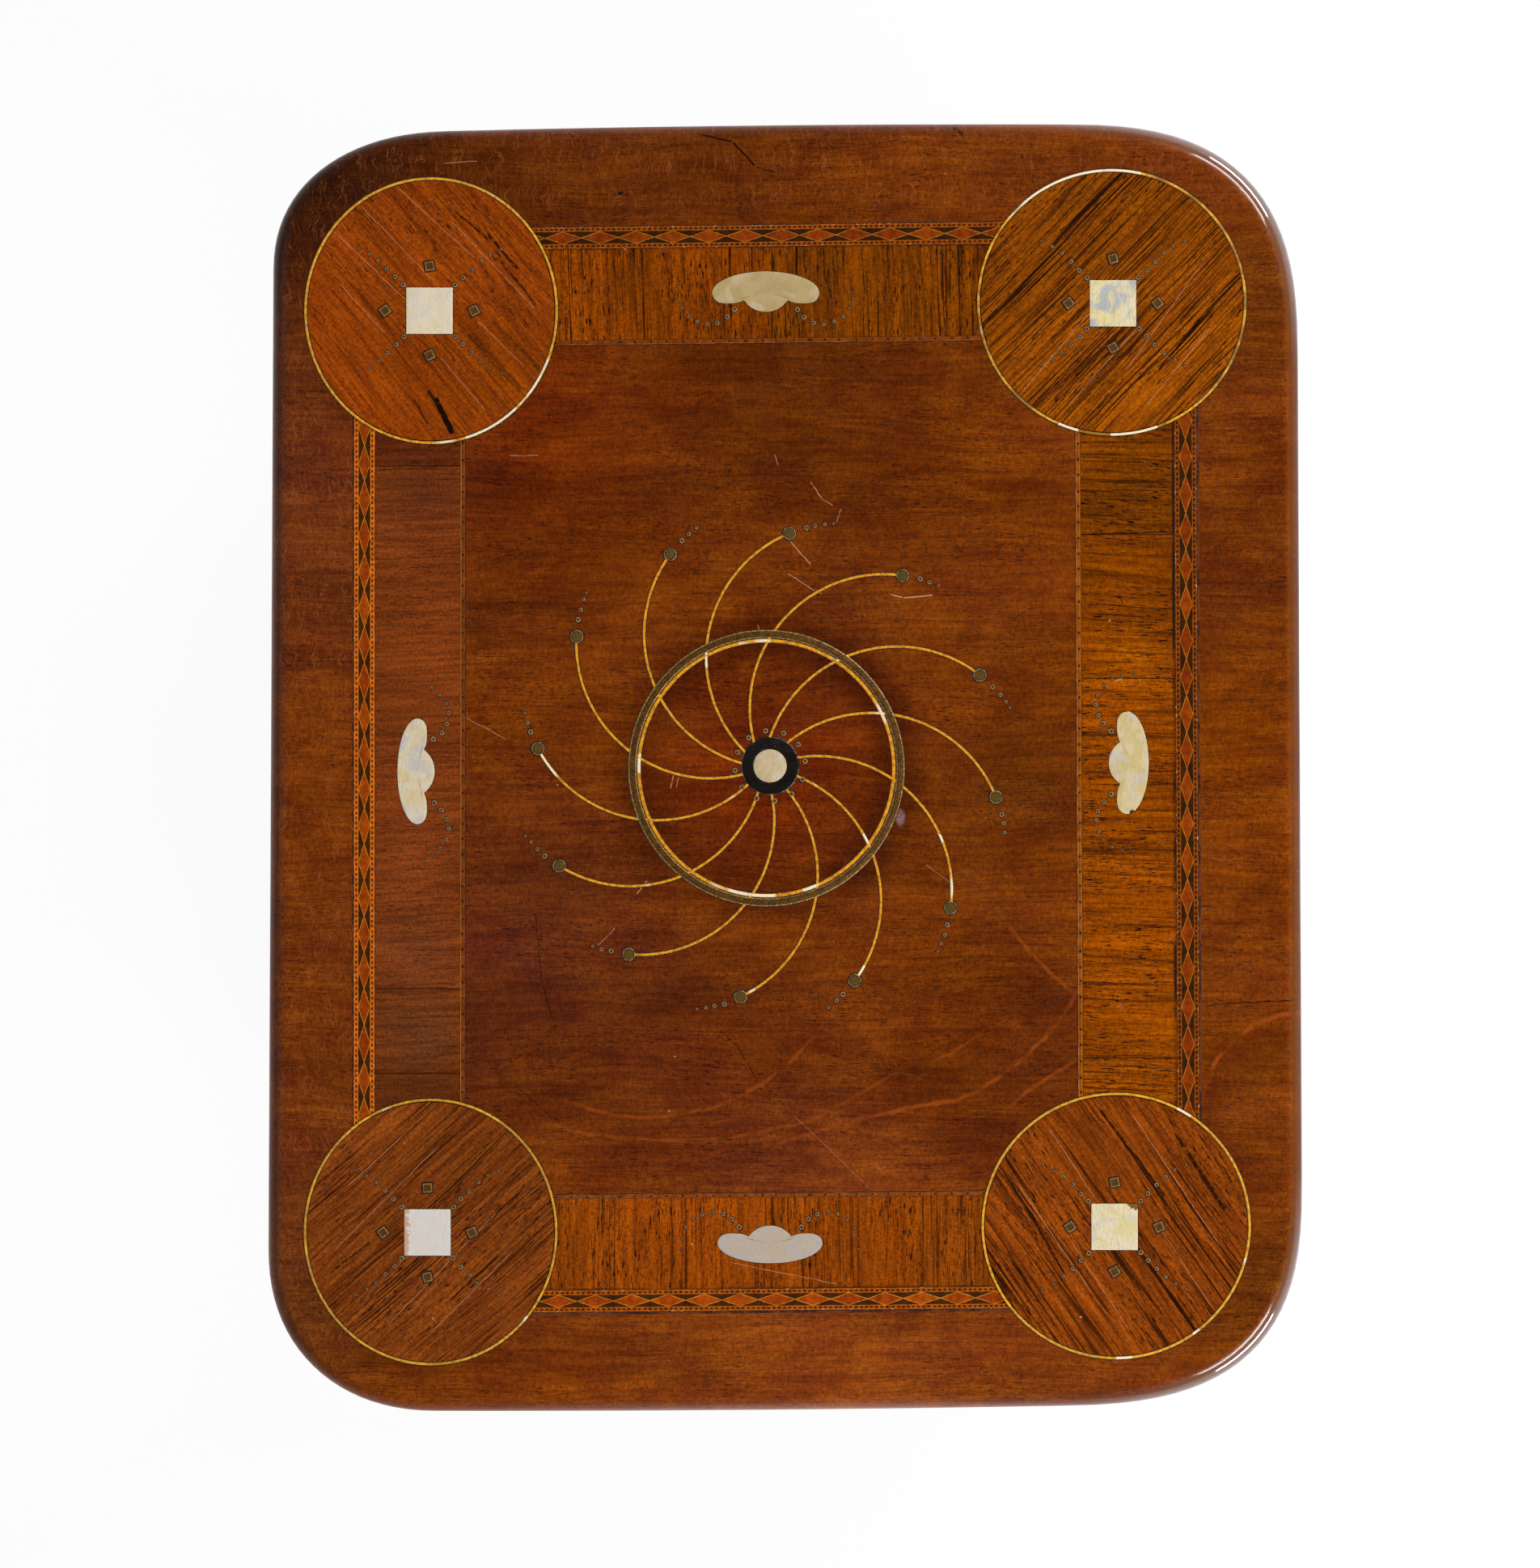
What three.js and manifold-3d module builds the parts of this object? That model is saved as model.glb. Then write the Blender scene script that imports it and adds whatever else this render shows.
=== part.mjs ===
// A side table with an inlaid top. A solid rounded board is let with four rosewood roundels, belts of
// diamond banding, crossband and dotted line, pearl clouds and squares, and a compass-drawn whirl of
// curved strings round an ebony hub. It stands on four square tapered legs, joined by beaded aprons
// and two low rails that carry a shelf. Millimetres, +Z up, origin on the floor under the top's middle.
// +Y is the back, -X the left.
import * as THREE from "three";
import { mergeVertices } from "three/addons/utils/BufferGeometryUtils.js";
import Module from "manifold-3d";

const wasm = await Module();
wasm.setup();

// Overall sizes of the table. The top's width and length are those through its middle.
const tableHeight = 700;
const topWidth = 450;
const topLength = 557;
const topThickness = 20;
// a fullness of 2 makes a corner round, and more pushes it out towards a square one
const roundFullness = 2;
// how far each corner reaches along its end and along its side, and how full it is
const topCorners = {
  backRight: { alongEnd: 103, alongSide: 101.5, fullness: 2.78 },
  backLeft: { alongEnd: 77, alongSide: 59, fullness: 2.26 },
  frontLeft: { alongEnd: 73.5, alongSide: 71, fullness: 2.2 },
  frontRight: { alongEnd: 107, alongSide: 98.5, fullness: 2.86 },
};
// the board was cut by hand: its ends run out of square and bow out, and its sides widen towards the
// front
const endSkew = 2.1;
const sideFlare = 1.4;
const endBows = { back: 2.6, front: 1.9 };

// Clearances and cutting allowances
const glueLine = 0.2;
const jointGap = 0.3;
const overrun = 5;
// vertices closer than this are one vertex
const mergeDistance = 1e-4;

// The thumb moulding round the top's edge
const thumbWidth = 8;
const thumbDepth = 10;
const edgeUnderset = 5;
const edgeSwellHeight = 8;

// Inlay depths: strings, veneers and pearl go deep, the two whirl rings lie across the strings
const inlayDepth = 1.6;
const ringDepth = 0.8;

// Roundels, their edging strings and pearl squares
const roundelWidthLeft = 111;
const roundelWidthRight = 117.8;
const roundelLength = 116.6;
const edgingWidth = 1.5;
const pearlSquare = 20.3;
// each roundel's centre, as shares of the top's half width and half length
const roundelPlaceShares = {
  back_left: [-0.686, 0.7155],
  back_right: [0.6322, 0.7285],
  front_left: [-0.687, -0.7255],
  front_right: [0.6406, -0.716],
};
// how far each pearl square was let in beside its roundel's centre
const pearlSquareOffsets = {
  back_left: [-0.7, 0],
  back_right: [0.5, -0.4],
  front_left: [-1.4, -0.2],
  front_right: [-0.7, -0.4],
};

// Belts between the roundels: diamond banding outside, crossband, dotted line inside
const beltSizes = {
  left: { banding: 9, crossband: 37.3, line: 2.1 },
  right: { banding: 9.5, crossband: 40.9, line: 2.3 },
  back: { banding: 9.4, crossband: 39.9, line: 2.1 },
  front: { banding: 9.4, crossband: 39.8, line: 1.9 },
};
// how far in from a belt's outer edge the line between its two roundels runs
const roundelOnBeltShare = 0.693;

// Pearl clouds, one in the middle of each crossband, lobe towards the table's middle
const cloudSizes = {
  left: { length: 46.2, height: 16.4 },
  right: { length: 44.8, height: 17.6 },
  back: { length: 46.9, height: 17.8 },
  front: { length: 45.9, height: 16.6 },
};
// how far out across the crossband, and how far along it from its middle, a cloud lies
const cloudAcrossShares = { left: 0.516, right: 0.496, back: 0.506, front: 0.515 };
const cloudAlongShares = { left: 0, right: 0.0015, back: -0.0085, front: -0.005 };

// The whirl: twelve arcs of the ring's own radius. The first is at the back, the others follow clockwise.
const whirlCentreShares = [-0.0368, 0];
const hubOffset = [1.6, 1];
const armsOffset = [-1.3, 0.3];
const ringRadius = 58.5;
const stringWidth = 1.4;
const firstArmAngle = THREE.MathUtils.degToRad(84);
// where each arm's tip lies: how far it is turned, as a share of the step between two arms, and how
// far out it is, as a share of an even arm's reach
const armTipShares = [
  [-0.011, 1.013], [0, 1.02], [-0.03, 1.012], [-0.042, 1.008], [-0.027, 1.006], [-0.027, 0.997],
  [0.01, 0.991], [0.007, 0.99], [0.057, 0.975], [0.04, 0.973], [0.033, 0.981], [-0.013, 1],
];
const brassRingWidth = 3.5;
const ringStringWidth = 1.8;
const ringStringGap = 0.3;
const hubRadius = 12.7;
const hubPearlRadius = 7.2;
const armStudRadius = 2.9;

// Legs
const legSize = 38;
const footSize = 22;
const legInsetSide = 45;
const legInsetEnd = 44;
const arrisChamfer = 1.5;
const footChamfer = 1.2;
const taperStart = 14;

// Aprons and their joints
const apronHeight = 70;
const apronThickness = 18;
const apronReveal = 3;
const beadRadius = 2.4;
const beadProjection = 1.8;
const tenonLength = 20;
const tenonThickness = 8;
const tenonShoulder = 10;

// Corner glue blocks under the top
const blockReach = 34;
const blockHeight = 42;

// Low shelf and the two end rails that carry it
const shelfTop = 204;
const shelfThickness = 14;
const shelfReveal = 6;
const shelfCornerRadius = 6;
const shelfRound = 3;
const railHeight = 30;
const railThickness = 16;
const railReveal = 8;
const railTenonLength = 12;
const railTenonThickness = 7;
const railTenonShoulder = 6;

// Facets on round work, for a whole turn or for a whole arm
const roundelFacets = 60;
const ringFacets = 84;
const hubFacets = 36;
const armFacets = 18;
const cornerFacets = 10;
const thumbFacets = 6;
const endFacets = 4;
const lobeFacets = 8;

// Places worked out from the sizes above
const halfWidth = topWidth / 2;
const halfLength = topLength / 2;
const topUnderside = tableHeight - topThickness;
const inlayFloor = tableHeight - inlayDepth;
const ringFloor = tableHeight - ringDepth;
const pocketTop = tableHeight + overrun;
const legOuterX = halfWidth - legInsetSide;
const legOuterY = halfLength - legInsetEnd;
const apronBottom = topUnderside - apronHeight;
const kneeHeight = apronBottom - taperStart;
const shelfUnderside = shelfTop - shelfThickness;
const railBottom = shelfUnderside - railHeight;
const whirlCentre = [whirlCentreShares[0] * halfWidth, whirlCentreShares[1] * halfLength];
const hubCentre = [whirlCentre[0] + hubOffset[0], whirlCentre[1] + hubOffset[1]];
const armsCentre = [whirlCentre[0] + armsOffset[0], whirlCentre[1] + armsOffset[1]];

const woods = {
  mahogany: new THREE.MeshStandardMaterial({ color: 0x7a3b12, roughness: 0.35, metalness: 0 }),
  rosewood: new THREE.MeshStandardMaterial({ color: 0x8a4510, roughness: 0.35, metalness: 0 }),
  boxwood: new THREE.MeshStandardMaterial({ color: 0xd99a2b, roughness: 0.35, metalness: 0 }),
  banding: new THREE.MeshStandardMaterial({ color: 0xa85a1c, roughness: 0.35, metalness: 0 }),
  ebony: new THREE.MeshStandardMaterial({ color: 0x140f0d, roughness: 0.3, metalness: 0 }),
};
const pearl = new THREE.MeshStandardMaterial({ color: 0xcfc8ac, roughness: 0.25, metalness: 0 });
const brass = new THREE.MeshStandardMaterial({ color: 0x6e5a2c, roughness: 0.4, metalness: 0.9 });

const table = new THREE.Group();

// A closed three.js geometry as a solid that can be joined and cut.
function solidOf(geometry) {
  const bare = geometry.index ? geometry.toNonIndexed() : geometry.clone();
  bare.deleteAttribute("normal");
  bare.deleteAttribute("uv");
  const merged = mergeVertices(bare, mergeDistance);
  return new wasm.Manifold(
    new wasm.Mesh({
      numProp: 3,
      vertProperties: merged.attributes.position.array,
      triVerts: new Uint32Array(merged.index.array),
    }),
  );
}

// Adds a solid to the table as one named mesh.
function addPiece(name, solid, material) {
  const made = solid.getMesh();
  const geometry = new THREE.BufferGeometry();
  geometry.setAttribute("position", new THREE.BufferAttribute(made.vertProperties, 3));
  geometry.setIndex(new THREE.BufferAttribute(made.triVerts, 1));
  geometry.computeVertexNormals();
  const mesh = new THREE.Mesh(geometry, material);
  mesh.name = name;
  table.add(mesh);
}

// A box between two corners.
function boxBetween(low, high) {
  const size = low.map((v, k) => high[k] - v);
  const middle = low.map((v, k) => (v + high[k]) / 2);
  return solidOf(new THREE.BoxGeometry(...size).translate(...middle));
}

// A flat outline carried straight up from one height to another. An arc is split into two facets for
// each of three.js's curve segments.
function slab(shape, bottom, top, facets = 2) {
  const settings = { depth: top - bottom, bevelEnabled: false, curveSegments: facets / 2 };
  return solidOf(new THREE.ExtrudeGeometry(shape, settings).translate(0, 0, bottom));
}

// A stack of outlines with the same number of points, joined into one closed skin.
// Each ring is { z, points: [[x, y], ...] }, listed anticlockwise and from the bottom up.
function loft(rings) {
  const count = rings[0].points.length;
  const positions = [];
  rings.forEach((ring) => ring.points.forEach(([x, y]) => positions.push(x, y, ring.z)));
  const index = [];
  for (let level = 0; level + 1 < rings.length; level += 1) {
    for (let i = 0; i < count; i += 1) {
      const a = level * count + i;
      const b = level * count + ((i + 1) % count);
      index.push(a, b, b + count, a, b + count, a + count);
    }
  }
  const last = (rings.length - 1) * count;
  const capOf = (ring) => ring.points.map(([x, y]) => new THREE.Vector2(x, y));
  THREE.ShapeUtils.triangulateShape(capOf(rings[0]), []).forEach(([a, b, c]) => index.push(c, b, a));
  THREE.ShapeUtils.triangulateShape(capOf(rings[rings.length - 1]), []).forEach(([a, b, c]) =>
    index.push(last + a, last + b, last + c),
  );
  const geometry = new THREE.BufferGeometry();
  geometry.setAttribute("position", new THREE.Float32BufferAttribute(positions, 3));
  geometry.setIndex(index);
  return solidOf(geometry);
}

// A point on a full corner: x and y of a curve (x / reachX)^fullness + (y / reachY)^fullness = 1.
function cornerPoint(corner, inset, angle) {
  const cos = Math.cos(angle);
  const sin = Math.sin(angle);
  const power = 2 / corner.fullness;
  return [
    (corner.alongEnd - inset) * Math.sign(cos) * Math.abs(cos) ** power,
    (corner.alongSide - inset) * Math.sign(sin) * Math.abs(sin) ** power,
  ];
}

// A rectangle with full corners, drawn in by an inset. Its corners run anticlockwise from the back
// right. Its two ends are split into runs, so that they can bow.
function roundedOutline(halfX, halfY, corners, inset, endRuns = 1) {
  const signs = [[1, 1], [-1, 1], [-1, -1], [1, -1]];
  const runs = signs.map(([sx, sy], k) => {
    const cx = sx * (halfX - corners[k].alongEnd);
    const cy = sy * (halfY - corners[k].alongSide);
    return Array.from({ length: cornerFacets + 1 }, (_, i) => {
      const [x, y] = cornerPoint(corners[k], inset, ((k + i / cornerFacets) * Math.PI) / 2);
      return [cx + x, cy + y];
    });
  });
  return runs.flatMap((run, k) => {
    const start = run[cornerFacets];
    const end = runs[(k + 1) % runs.length][0];
    const isEnd = k % 2 === 0;
    const between = Array.from({ length: isEnd ? endRuns - 1 : 0 }, (_, i) => {
      const share = (i + 1) / endRuns;
      return start.map((v, axis) => v + (end[axis] - v) * share);
    });
    return [...run, ...between];
  });
}

function ellipseShape(centre, radiusX, radiusY) {
  return new THREE.Shape().absellipse(centre[0], centre[1], radiusX, radiusY, 0, 2 * Math.PI, false);
}

function polygonShape(corners) {
  return new THREE.Shape(corners.map(([x, y]) => new THREE.Vector2(x, y)));
}

function rectangleShape(left, right, front, back) {
  return polygonShape([[left, front], [right, front], [right, back], [left, back]]);
}

// A flat ring between an outer and an inner ellipse with the same centre.
function ringSolid(centre, outer, inner, bottom, top, facets) {
  const cutter = slab(ellipseShape(centre, ...inner), bottom - overrun, top + overrun, facets);
  return slab(ellipseShape(centre, ...outer), bottom, top, facets).subtract(cutter);
}

// Roundels: place and size of each

const roundels = {};
Object.entries(roundelPlaceShares).forEach(([place, [shareX, shareY]]) => {
  const width = place.endsWith("left") ? roundelWidthLeft : roundelWidthRight;
  roundels[place] = {
    centre: [shareX * halfWidth, shareY * halfLength],
    radii: [width / 2, roundelLength / 2],
  };
});

// A roundel's outline, grown or drawn in on all sides.
function roundelShape(roundel, grow) {
  return ellipseShape(roundel.centre, roundel.radii[0] + grow, roundel.radii[1] + grow);
}

// Belts: each runs from one roundel to the next, as strips parallel to the line between their centres

const belts = {
  left: { ends: ["front_left", "back_left"], across: 0, out: -1 },
  right: { ends: ["front_right", "back_right"], across: 0, out: 1 },
  back: { ends: ["back_left", "back_right"], across: 1, out: 1 },
  front: { ends: ["front_left", "front_right"], across: 1, out: -1 },
};
Object.entries(belts).forEach(([side, belt]) => {
  const size = beltSizes[side];
  const [first, second] = belt.ends.map((place) => roundels[place].centre);
  const width = size.banding + size.crossband + size.line;
  const roundelLine = (first[belt.across] + second[belt.across]) / 2;
  belt.from = first[1 - belt.across];
  belt.to = second[1 - belt.across];
  belt.lean = (second[belt.across] - first[belt.across]) / 2;
  // edges of the strips half way along, from the outside in, as distances from the table's middle
  belt.edges = [belt.out * roundelLine + roundelOnBeltShare * width];
  [size.banding, size.crossband, size.line].forEach((w) =>
    belt.edges.push(belt.edges[belt.edges.length - 1] - w),
  );
  belt.middle = (belt.from + belt.to) / 2;
});

// A strip of a belt between two distances from the middle, in plan.
function stripShape(belt, near, far) {
  const corners = [
    [belt.out * near - belt.lean, belt.from], [belt.out * far - belt.lean, belt.from],
    [belt.out * far + belt.lean, belt.to], [belt.out * near + belt.lean, belt.to],
  ];
  return polygonShape(belt.across === 0 ? corners : corners.map(([across, along]) => [along, across]));
}

// Cloud outline: an arch over two side lobes and a middle lobe. Local u runs along, v outwards.
const archFootShare = -0.04;
const archRiseShare = 0.54;
const sideLobe = { controlShares: [0.98, -0.33], bottomShares: [0.64, -0.29] };
const cuspShares = [0.41, -0.21];
const cuspControlShares = [0.5, -0.29];
const middleLobeShare = -0.5;

function cloudShape(size, grow) {
  const reach = size.length / 2 + grow;
  const rise = size.height + 2 * grow;
  const at = ([u, v]) => [u * reach, v * rise];
  const mirrored = ([u, v]) => [-u * reach, v * rise];
  const shape = new THREE.Shape();
  shape.moveTo(reach, archFootShare * rise);
  shape.absellipse(0, archFootShare * rise, reach, archRiseShare * rise, 0, Math.PI, false);
  shape.quadraticCurveTo(...mirrored(sideLobe.controlShares), ...mirrored(sideLobe.bottomShares));
  shape.quadraticCurveTo(...mirrored(cuspControlShares), ...mirrored(cuspShares));
  // the middle lobe is an arc through both cusps and its lowest point
  const [cuspX, cuspY] = at(cuspShares);
  const lowest = middleLobeShare * rise;
  const radius = (cuspX ** 2 + (cuspY - lowest) ** 2) / (2 * (cuspY - lowest));
  const start = Math.atan2(cuspY - lowest - radius, -cuspX);
  shape.absarc(0, lowest + radius, radius, start, -Math.PI - start, false);
  shape.quadraticCurveTo(...at(cuspControlShares), ...at(sideLobe.bottomShares));
  shape.quadraticCurveTo(...at(sideLobe.controlShares), reach, archFootShare * rise);
  return shape;
}

// A cloud in its place on a belt, from one height to another.
function cloudSolid(side, grow, bottom, top) {
  const belt = belts[side];
  const [, crossbandOut, crossbandIn] = belt.edges;
  const out = crossbandIn + cloudAcrossShares[side] * (crossbandOut - crossbandIn);
  const along = belt.middle + cloudAlongShares[side] * (belt.to - belt.from);
  const turn = { back: 0, left: 1, front: 2, right: 3 }[side];
  const place = belt.across === 0 ? [belt.out * out, along] : [along, belt.out * out];
  const geometry = new THREE.ExtrudeGeometry(cloudShape(cloudSizes[side], grow), {
    depth: top - bottom,
    bevelEnabled: false,
    curveSegments: lobeFacets,
  });
  return solidOf(geometry.rotateZ((turn * Math.PI) / 2).translate(...place, bottom));
}

// The whirl: every arm is an arc from near the whirl's centre to the stud at its tip. An even arm
// sweeps 120 degrees, so it ends at the ring's radius times the root of three.

const armCount = armTipShares.length;
const armStep = (2 * Math.PI) / armCount;
const evenSweep = (2 * Math.PI) / 3;
// room for the hub at an arm's start and for the stud at its tip
const hubRoom = 2 * Math.asin(hubRadius / 2 / (2 * ringRadius));
const studRoom = 2 * Math.asin(armStudRadius / (2 * ringRadius));

function armSolid(arm, grow, bottom, top) {
  const [turnShare, reachShare] = armTipShares[arm];
  const sweep = 2 * Math.asin(reachShare * Math.sin(evenSweep / 2));
  const tipAngle = firstArmAngle + (turnShare - arm) * armStep;
  const strikeAngle = tipAngle - (Math.PI - sweep) / 2;
  const strikeX = armsCentre[0] + ringRadius * Math.cos(strikeAngle);
  const strikeY = armsCentre[1] + ringRadius * Math.sin(strikeAngle);
  // seen from the striking point the arm starts towards the whirl's centre and sweeps clockwise
  const from = strikeAngle + Math.PI - hubRoom;
  const to = strikeAngle + Math.PI - sweep + studRoom;
  const half = stringWidth / 2 + grow;
  const more = grow / ringRadius;
  const shape = new THREE.Shape();
  shape.absarc(strikeX, strikeY, ringRadius + half, to - more, from + more, false);
  shape.absarc(strikeX, strikeY, ringRadius - half, from + more, to - more, true);
  return slab(shape, bottom, top, armFacets);
}

const both = (radius) => [radius, radius];
const brassOuter = ringRadius + brassRingWidth / 2;
const brassInner = ringRadius - brassRingWidth / 2;
const ringStringOuter = brassInner - ringStringGap;
const ringStringInner = ringStringOuter - ringStringWidth;

function hubHole(bottom) {
  const shape = ellipseShape(hubCentre, ...both(hubRadius + glueLine));
  return slab(shape, bottom, pocketTop, hubFacets);
}

// Top board with every pocket cut

const cornersInOrder = [
  topCorners.backRight, topCorners.backLeft, topCorners.frontLeft, topCorners.frontRight,
];

// An end's bow fades towards the board's middle and towards the end's own corners.
function bowAt(x, y) {
  const bow = y > 0 ? endBows.back : -endBows.front;
  return bow * (1 - (x / halfWidth) ** 2) * (y / halfLength) ** 4;
}

function topRing(inset, z) {
  const square = roundedOutline(halfWidth, halfLength, cornersInOrder, inset, endFacets);
  const points = square.map(([x, y]) => [
    x * (1 - (sideFlare * y) / (halfLength * halfWidth)),
    y + (endSkew * x) / halfWidth + bowAt(x, y),
  ]);
  return { z, points };
}

// the edge swells out from the underside, stands square, and rolls over the thumb to the face
const topRings = [
  topRing(edgeUnderset, topUnderside),
  topRing(edgeUnderset / 3, topUnderside + edgeSwellHeight / 2),
  topRing(0, topUnderside + edgeSwellHeight),
];
for (let i = 0; i <= thumbFacets; i += 1) {
  const angle = (i / thumbFacets) * (Math.PI / 2);
  const inset = thumbWidth * (1 - Math.cos(angle));
  topRings.push(topRing(inset, tableHeight - thumbDepth * (1 - Math.sin(angle))));
}

let topBoard = loft(topRings);
Object.values(roundels).forEach((roundel) => {
  topBoard = topBoard.subtract(
    slab(roundelShape(roundel, glueLine), inlayFloor, pocketTop, roundelFacets),
  );
});
Object.values(belts).forEach((belt) => {
  const far = belt.edges[0] + glueLine;
  const near = belt.edges[3] - glueLine;
  topBoard = topBoard.subtract(slab(stripShape(belt, near, far), inlayFloor, pocketTop));
});
for (let arm = 0; arm < armCount; arm += 1) {
  topBoard = topBoard.subtract(armSolid(arm, glueLine, inlayFloor, pocketTop));
}
const ringsOuter = both(brassOuter + glueLine);
const ringsInner = both(ringStringInner - glueLine);
const ringsBed = ringSolid(whirlCentre, ringsOuter, ringsInner, ringFloor, pocketTop, ringFacets);
topBoard = topBoard
  .subtract(ringsBed)
  .subtract(hubHole(inlayFloor));
addPiece("top_board", topBoard, woods.mahogany);

// Roundels, edging strings and pearl squares
Object.entries(roundels).forEach(([place, roundel]) => {
  const [x, y] = roundel.centre.map((v, axis) => v + pearlSquareOffsets[place][axis]);
  const squareHalf = pearlSquare / 2;
  const squareAt = (half) => rectangleShape(x - half, x + half, y - half, y + half);
  const disc = slab(
    roundelShape(roundel, -edgingWidth - glueLine), inlayFloor, tableHeight, roundelFacets,
  ).subtract(slab(squareAt(squareHalf + glueLine), inlayFloor - overrun, pocketTop));
  addPiece(`roundel_${place}`, disc, woods.rosewood);
  const inner = roundel.radii.map((radius) => radius - edgingWidth);
  const edging = ringSolid(roundel.centre, roundel.radii, inner, inlayFloor, tableHeight, roundelFacets);
  addPiece(`roundel_edging_${place}`, edging, woods.boxwood);
  addPiece(`pearl_square_${place}`, slab(squareAt(squareHalf), inlayFloor, tableHeight), pearl);
});

// Belt strips, cut to the roundels at both ends, with the cloud let into the crossband
Object.entries(belts).forEach(([side, belt]) => {
  const stripNames = [`diamond_banding_${side}`, `crossband_${side}`, `dotted_line_${side}`];
  const stripWoods = [woods.banding, woods.rosewood, woods.boxwood];
  stripNames.forEach((name, i) => {
    const far = belt.edges[i] - (i > 0 ? glueLine : 0);
    let strip = slab(stripShape(belt, belt.edges[i + 1], far), inlayFloor, tableHeight);
    belt.ends.forEach((place) => {
      const cutter = slab(
        roundelShape(roundels[place], glueLine), inlayFloor - overrun, pocketTop, roundelFacets,
      );
      strip = strip.subtract(cutter);
    });
    if (name.startsWith("crossband")) {
      strip = strip.subtract(cloudSolid(side, glueLine, inlayFloor - overrun, pocketTop));
    }
    addPiece(name, strip, stripWoods[i]);
  });
  addPiece(`pearl_cloud_${side}`, cloudSolid(side, 0, inlayFloor, tableHeight), pearl);
});

// Whirl strings, halved where the two rings cross over them and stopped at the hub
for (let arm = 0; arm < armCount; arm += 1) {
  const string = armSolid(arm, 0, inlayFloor, tableHeight)
    .subtract(ringsBed)
    .subtract(hubHole(inlayFloor - overrun));
  addPiece(`whirl_string_${String(arm + 1).padStart(2, "0")}`, string, woods.boxwood);
}
addPiece(
  "whirl_ring_brass",
  ringSolid(whirlCentre, both(brassOuter), both(brassInner), ringFloor, tableHeight, ringFacets),
  brass,
);
addPiece(
  "whirl_ring_string",
  ringSolid(
    whirlCentre, both(ringStringOuter), both(ringStringInner), ringFloor, tableHeight, ringFacets,
  ),
  woods.boxwood,
);
addPiece(
  "hub_ring",
  ringSolid(
    hubCentre, both(hubRadius), both(hubPearlRadius + glueLine), inlayFloor, tableHeight, hubFacets,
  ),
  woods.ebony,
);
addPiece(
  "hub_pearl",
  slab(ellipseShape(hubCentre, ...both(hubPearlRadius)), inlayFloor, tableHeight, hubFacets),
  pearl,
);

// Legs: square, outer faces upright, inner faces tapering to the foot below the knee

// how wide a leg is at a height
function legWidthAt(z) {
  return footSize + (legSize - footSize) * Math.min(1, z / kneeHeight);
}

// a leg's outline at a height: corners chamfered, all sides grown or drawn in
function legPoints(signX, signY, z, grow, inset) {
  const width = legWidthAt(z);
  const outerX = legOuterX + grow - inset;
  const outerY = legOuterY + grow - inset;
  const innerX = legOuterX - width - grow + inset;
  const innerY = legOuterY - width - grow + inset;
  const c = arrisChamfer;
  const points = [
    [outerX, innerY + c], [outerX, outerY - c], [outerX - c, outerY], [innerX + c, outerY],
    [innerX, outerY - c], [innerX, innerY + c], [innerX + c, innerY], [outerX - c, innerY],
  ].map(([x, y]) => [signX * x, signY * y]);
  return signX * signY > 0 ? points : points.reverse();
}

function legSolid(signX, signY, grow) {
  const ring = (z, inset) => ({ z, points: legPoints(signX, signY, z, grow, inset) });
  return loft([ring(0, footChamfer), ring(footChamfer, 0), ring(kneeHeight, 0), ring(topUnderside, 0)]);
}

const sides = { left: -1, right: 1, back: 1, front: -1 };
const legPlaces = [["back", "left"], ["back", "right"], ["front", "left"], ["front", "right"]];

// Aprons: a board with a bead along its lower outer edge, and a tenon at each end

const legInnerX = legOuterX - legSize;
const legInnerY = legOuterY - legSize;

// an apron's section: u is depth in from its outer face, v is height above its lower edge
function apronSection() {
  const shape = new THREE.Shape();
  shape.moveTo(apronThickness, apronHeight);
  shape.lineTo(0, apronHeight);
  shape.lineTo(0, 2 * beadRadius);
  shape.absellipse(0, beadRadius, beadProjection, beadRadius, Math.PI / 2, (3 * Math.PI) / 2, false);
  shape.lineTo(apronThickness, 0);
  return shape;
}

// tenons as boxes between two distances in from the leg's outer face
function tenonBox(alongX, sign, reach, grow) {
  const inner = apronReveal + (apronThickness - tenonThickness) / 2;
  const outerFace = alongX ? legOuterY : legOuterX;
  const near = outerFace - inner - tenonThickness - grow;
  const far = outerFace - inner + grow;
  const low = apronBottom + tenonShoulder - grow;
  const high = topUnderside - tenonShoulder + grow;
  const across = sign > 0 ? [near, far] : [-far, -near];
  return alongX
    ? boxBetween([-reach, across[0], low], [reach, across[1], high])
    : boxBetween([across[0], -reach, low], [across[1], reach, high]);
}

function apronSolid(side) {
  const alongX = side === "back" || side === "front";
  const reach = alongX ? legInnerX : legInnerY;
  const face = (alongX ? legOuterY : legOuterX) - apronReveal;
  const board = new THREE.ExtrudeGeometry(apronSection(), {
    depth: 2 * reach,
    bevelEnabled: false,
    curveSegments: lobeFacets,
  });
  // the section stands upright facing -Y, then turns to its side of the table
  board.translate(0, 0, -reach).rotateX(Math.PI / 2).rotateZ(Math.PI / 2);
  board.translate(0, -face, apronBottom);
  const turns = { front: 0, right: 1, back: 2, left: 3 }[side];
  return solidOf(board.rotateZ((turns * Math.PI) / 2));
}

const apronTenons = {};
["front", "back", "left", "right"].forEach((side) => {
  const alongX = side === "back" || side === "front";
  const reach = (alongX ? legInnerX : legInnerY) + tenonLength;
  apronTenons[side] = (grow) => tenonBox(alongX, sides[side], reach + grow, grow);
  addPiece(`apron_${side}`, apronSolid(side).add(apronTenons[side](0)), woods.mahogany);
});

// End rails: their shoulders follow the legs' taper, with a tenon into each leg

const railTop = shelfUnderside;

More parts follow.
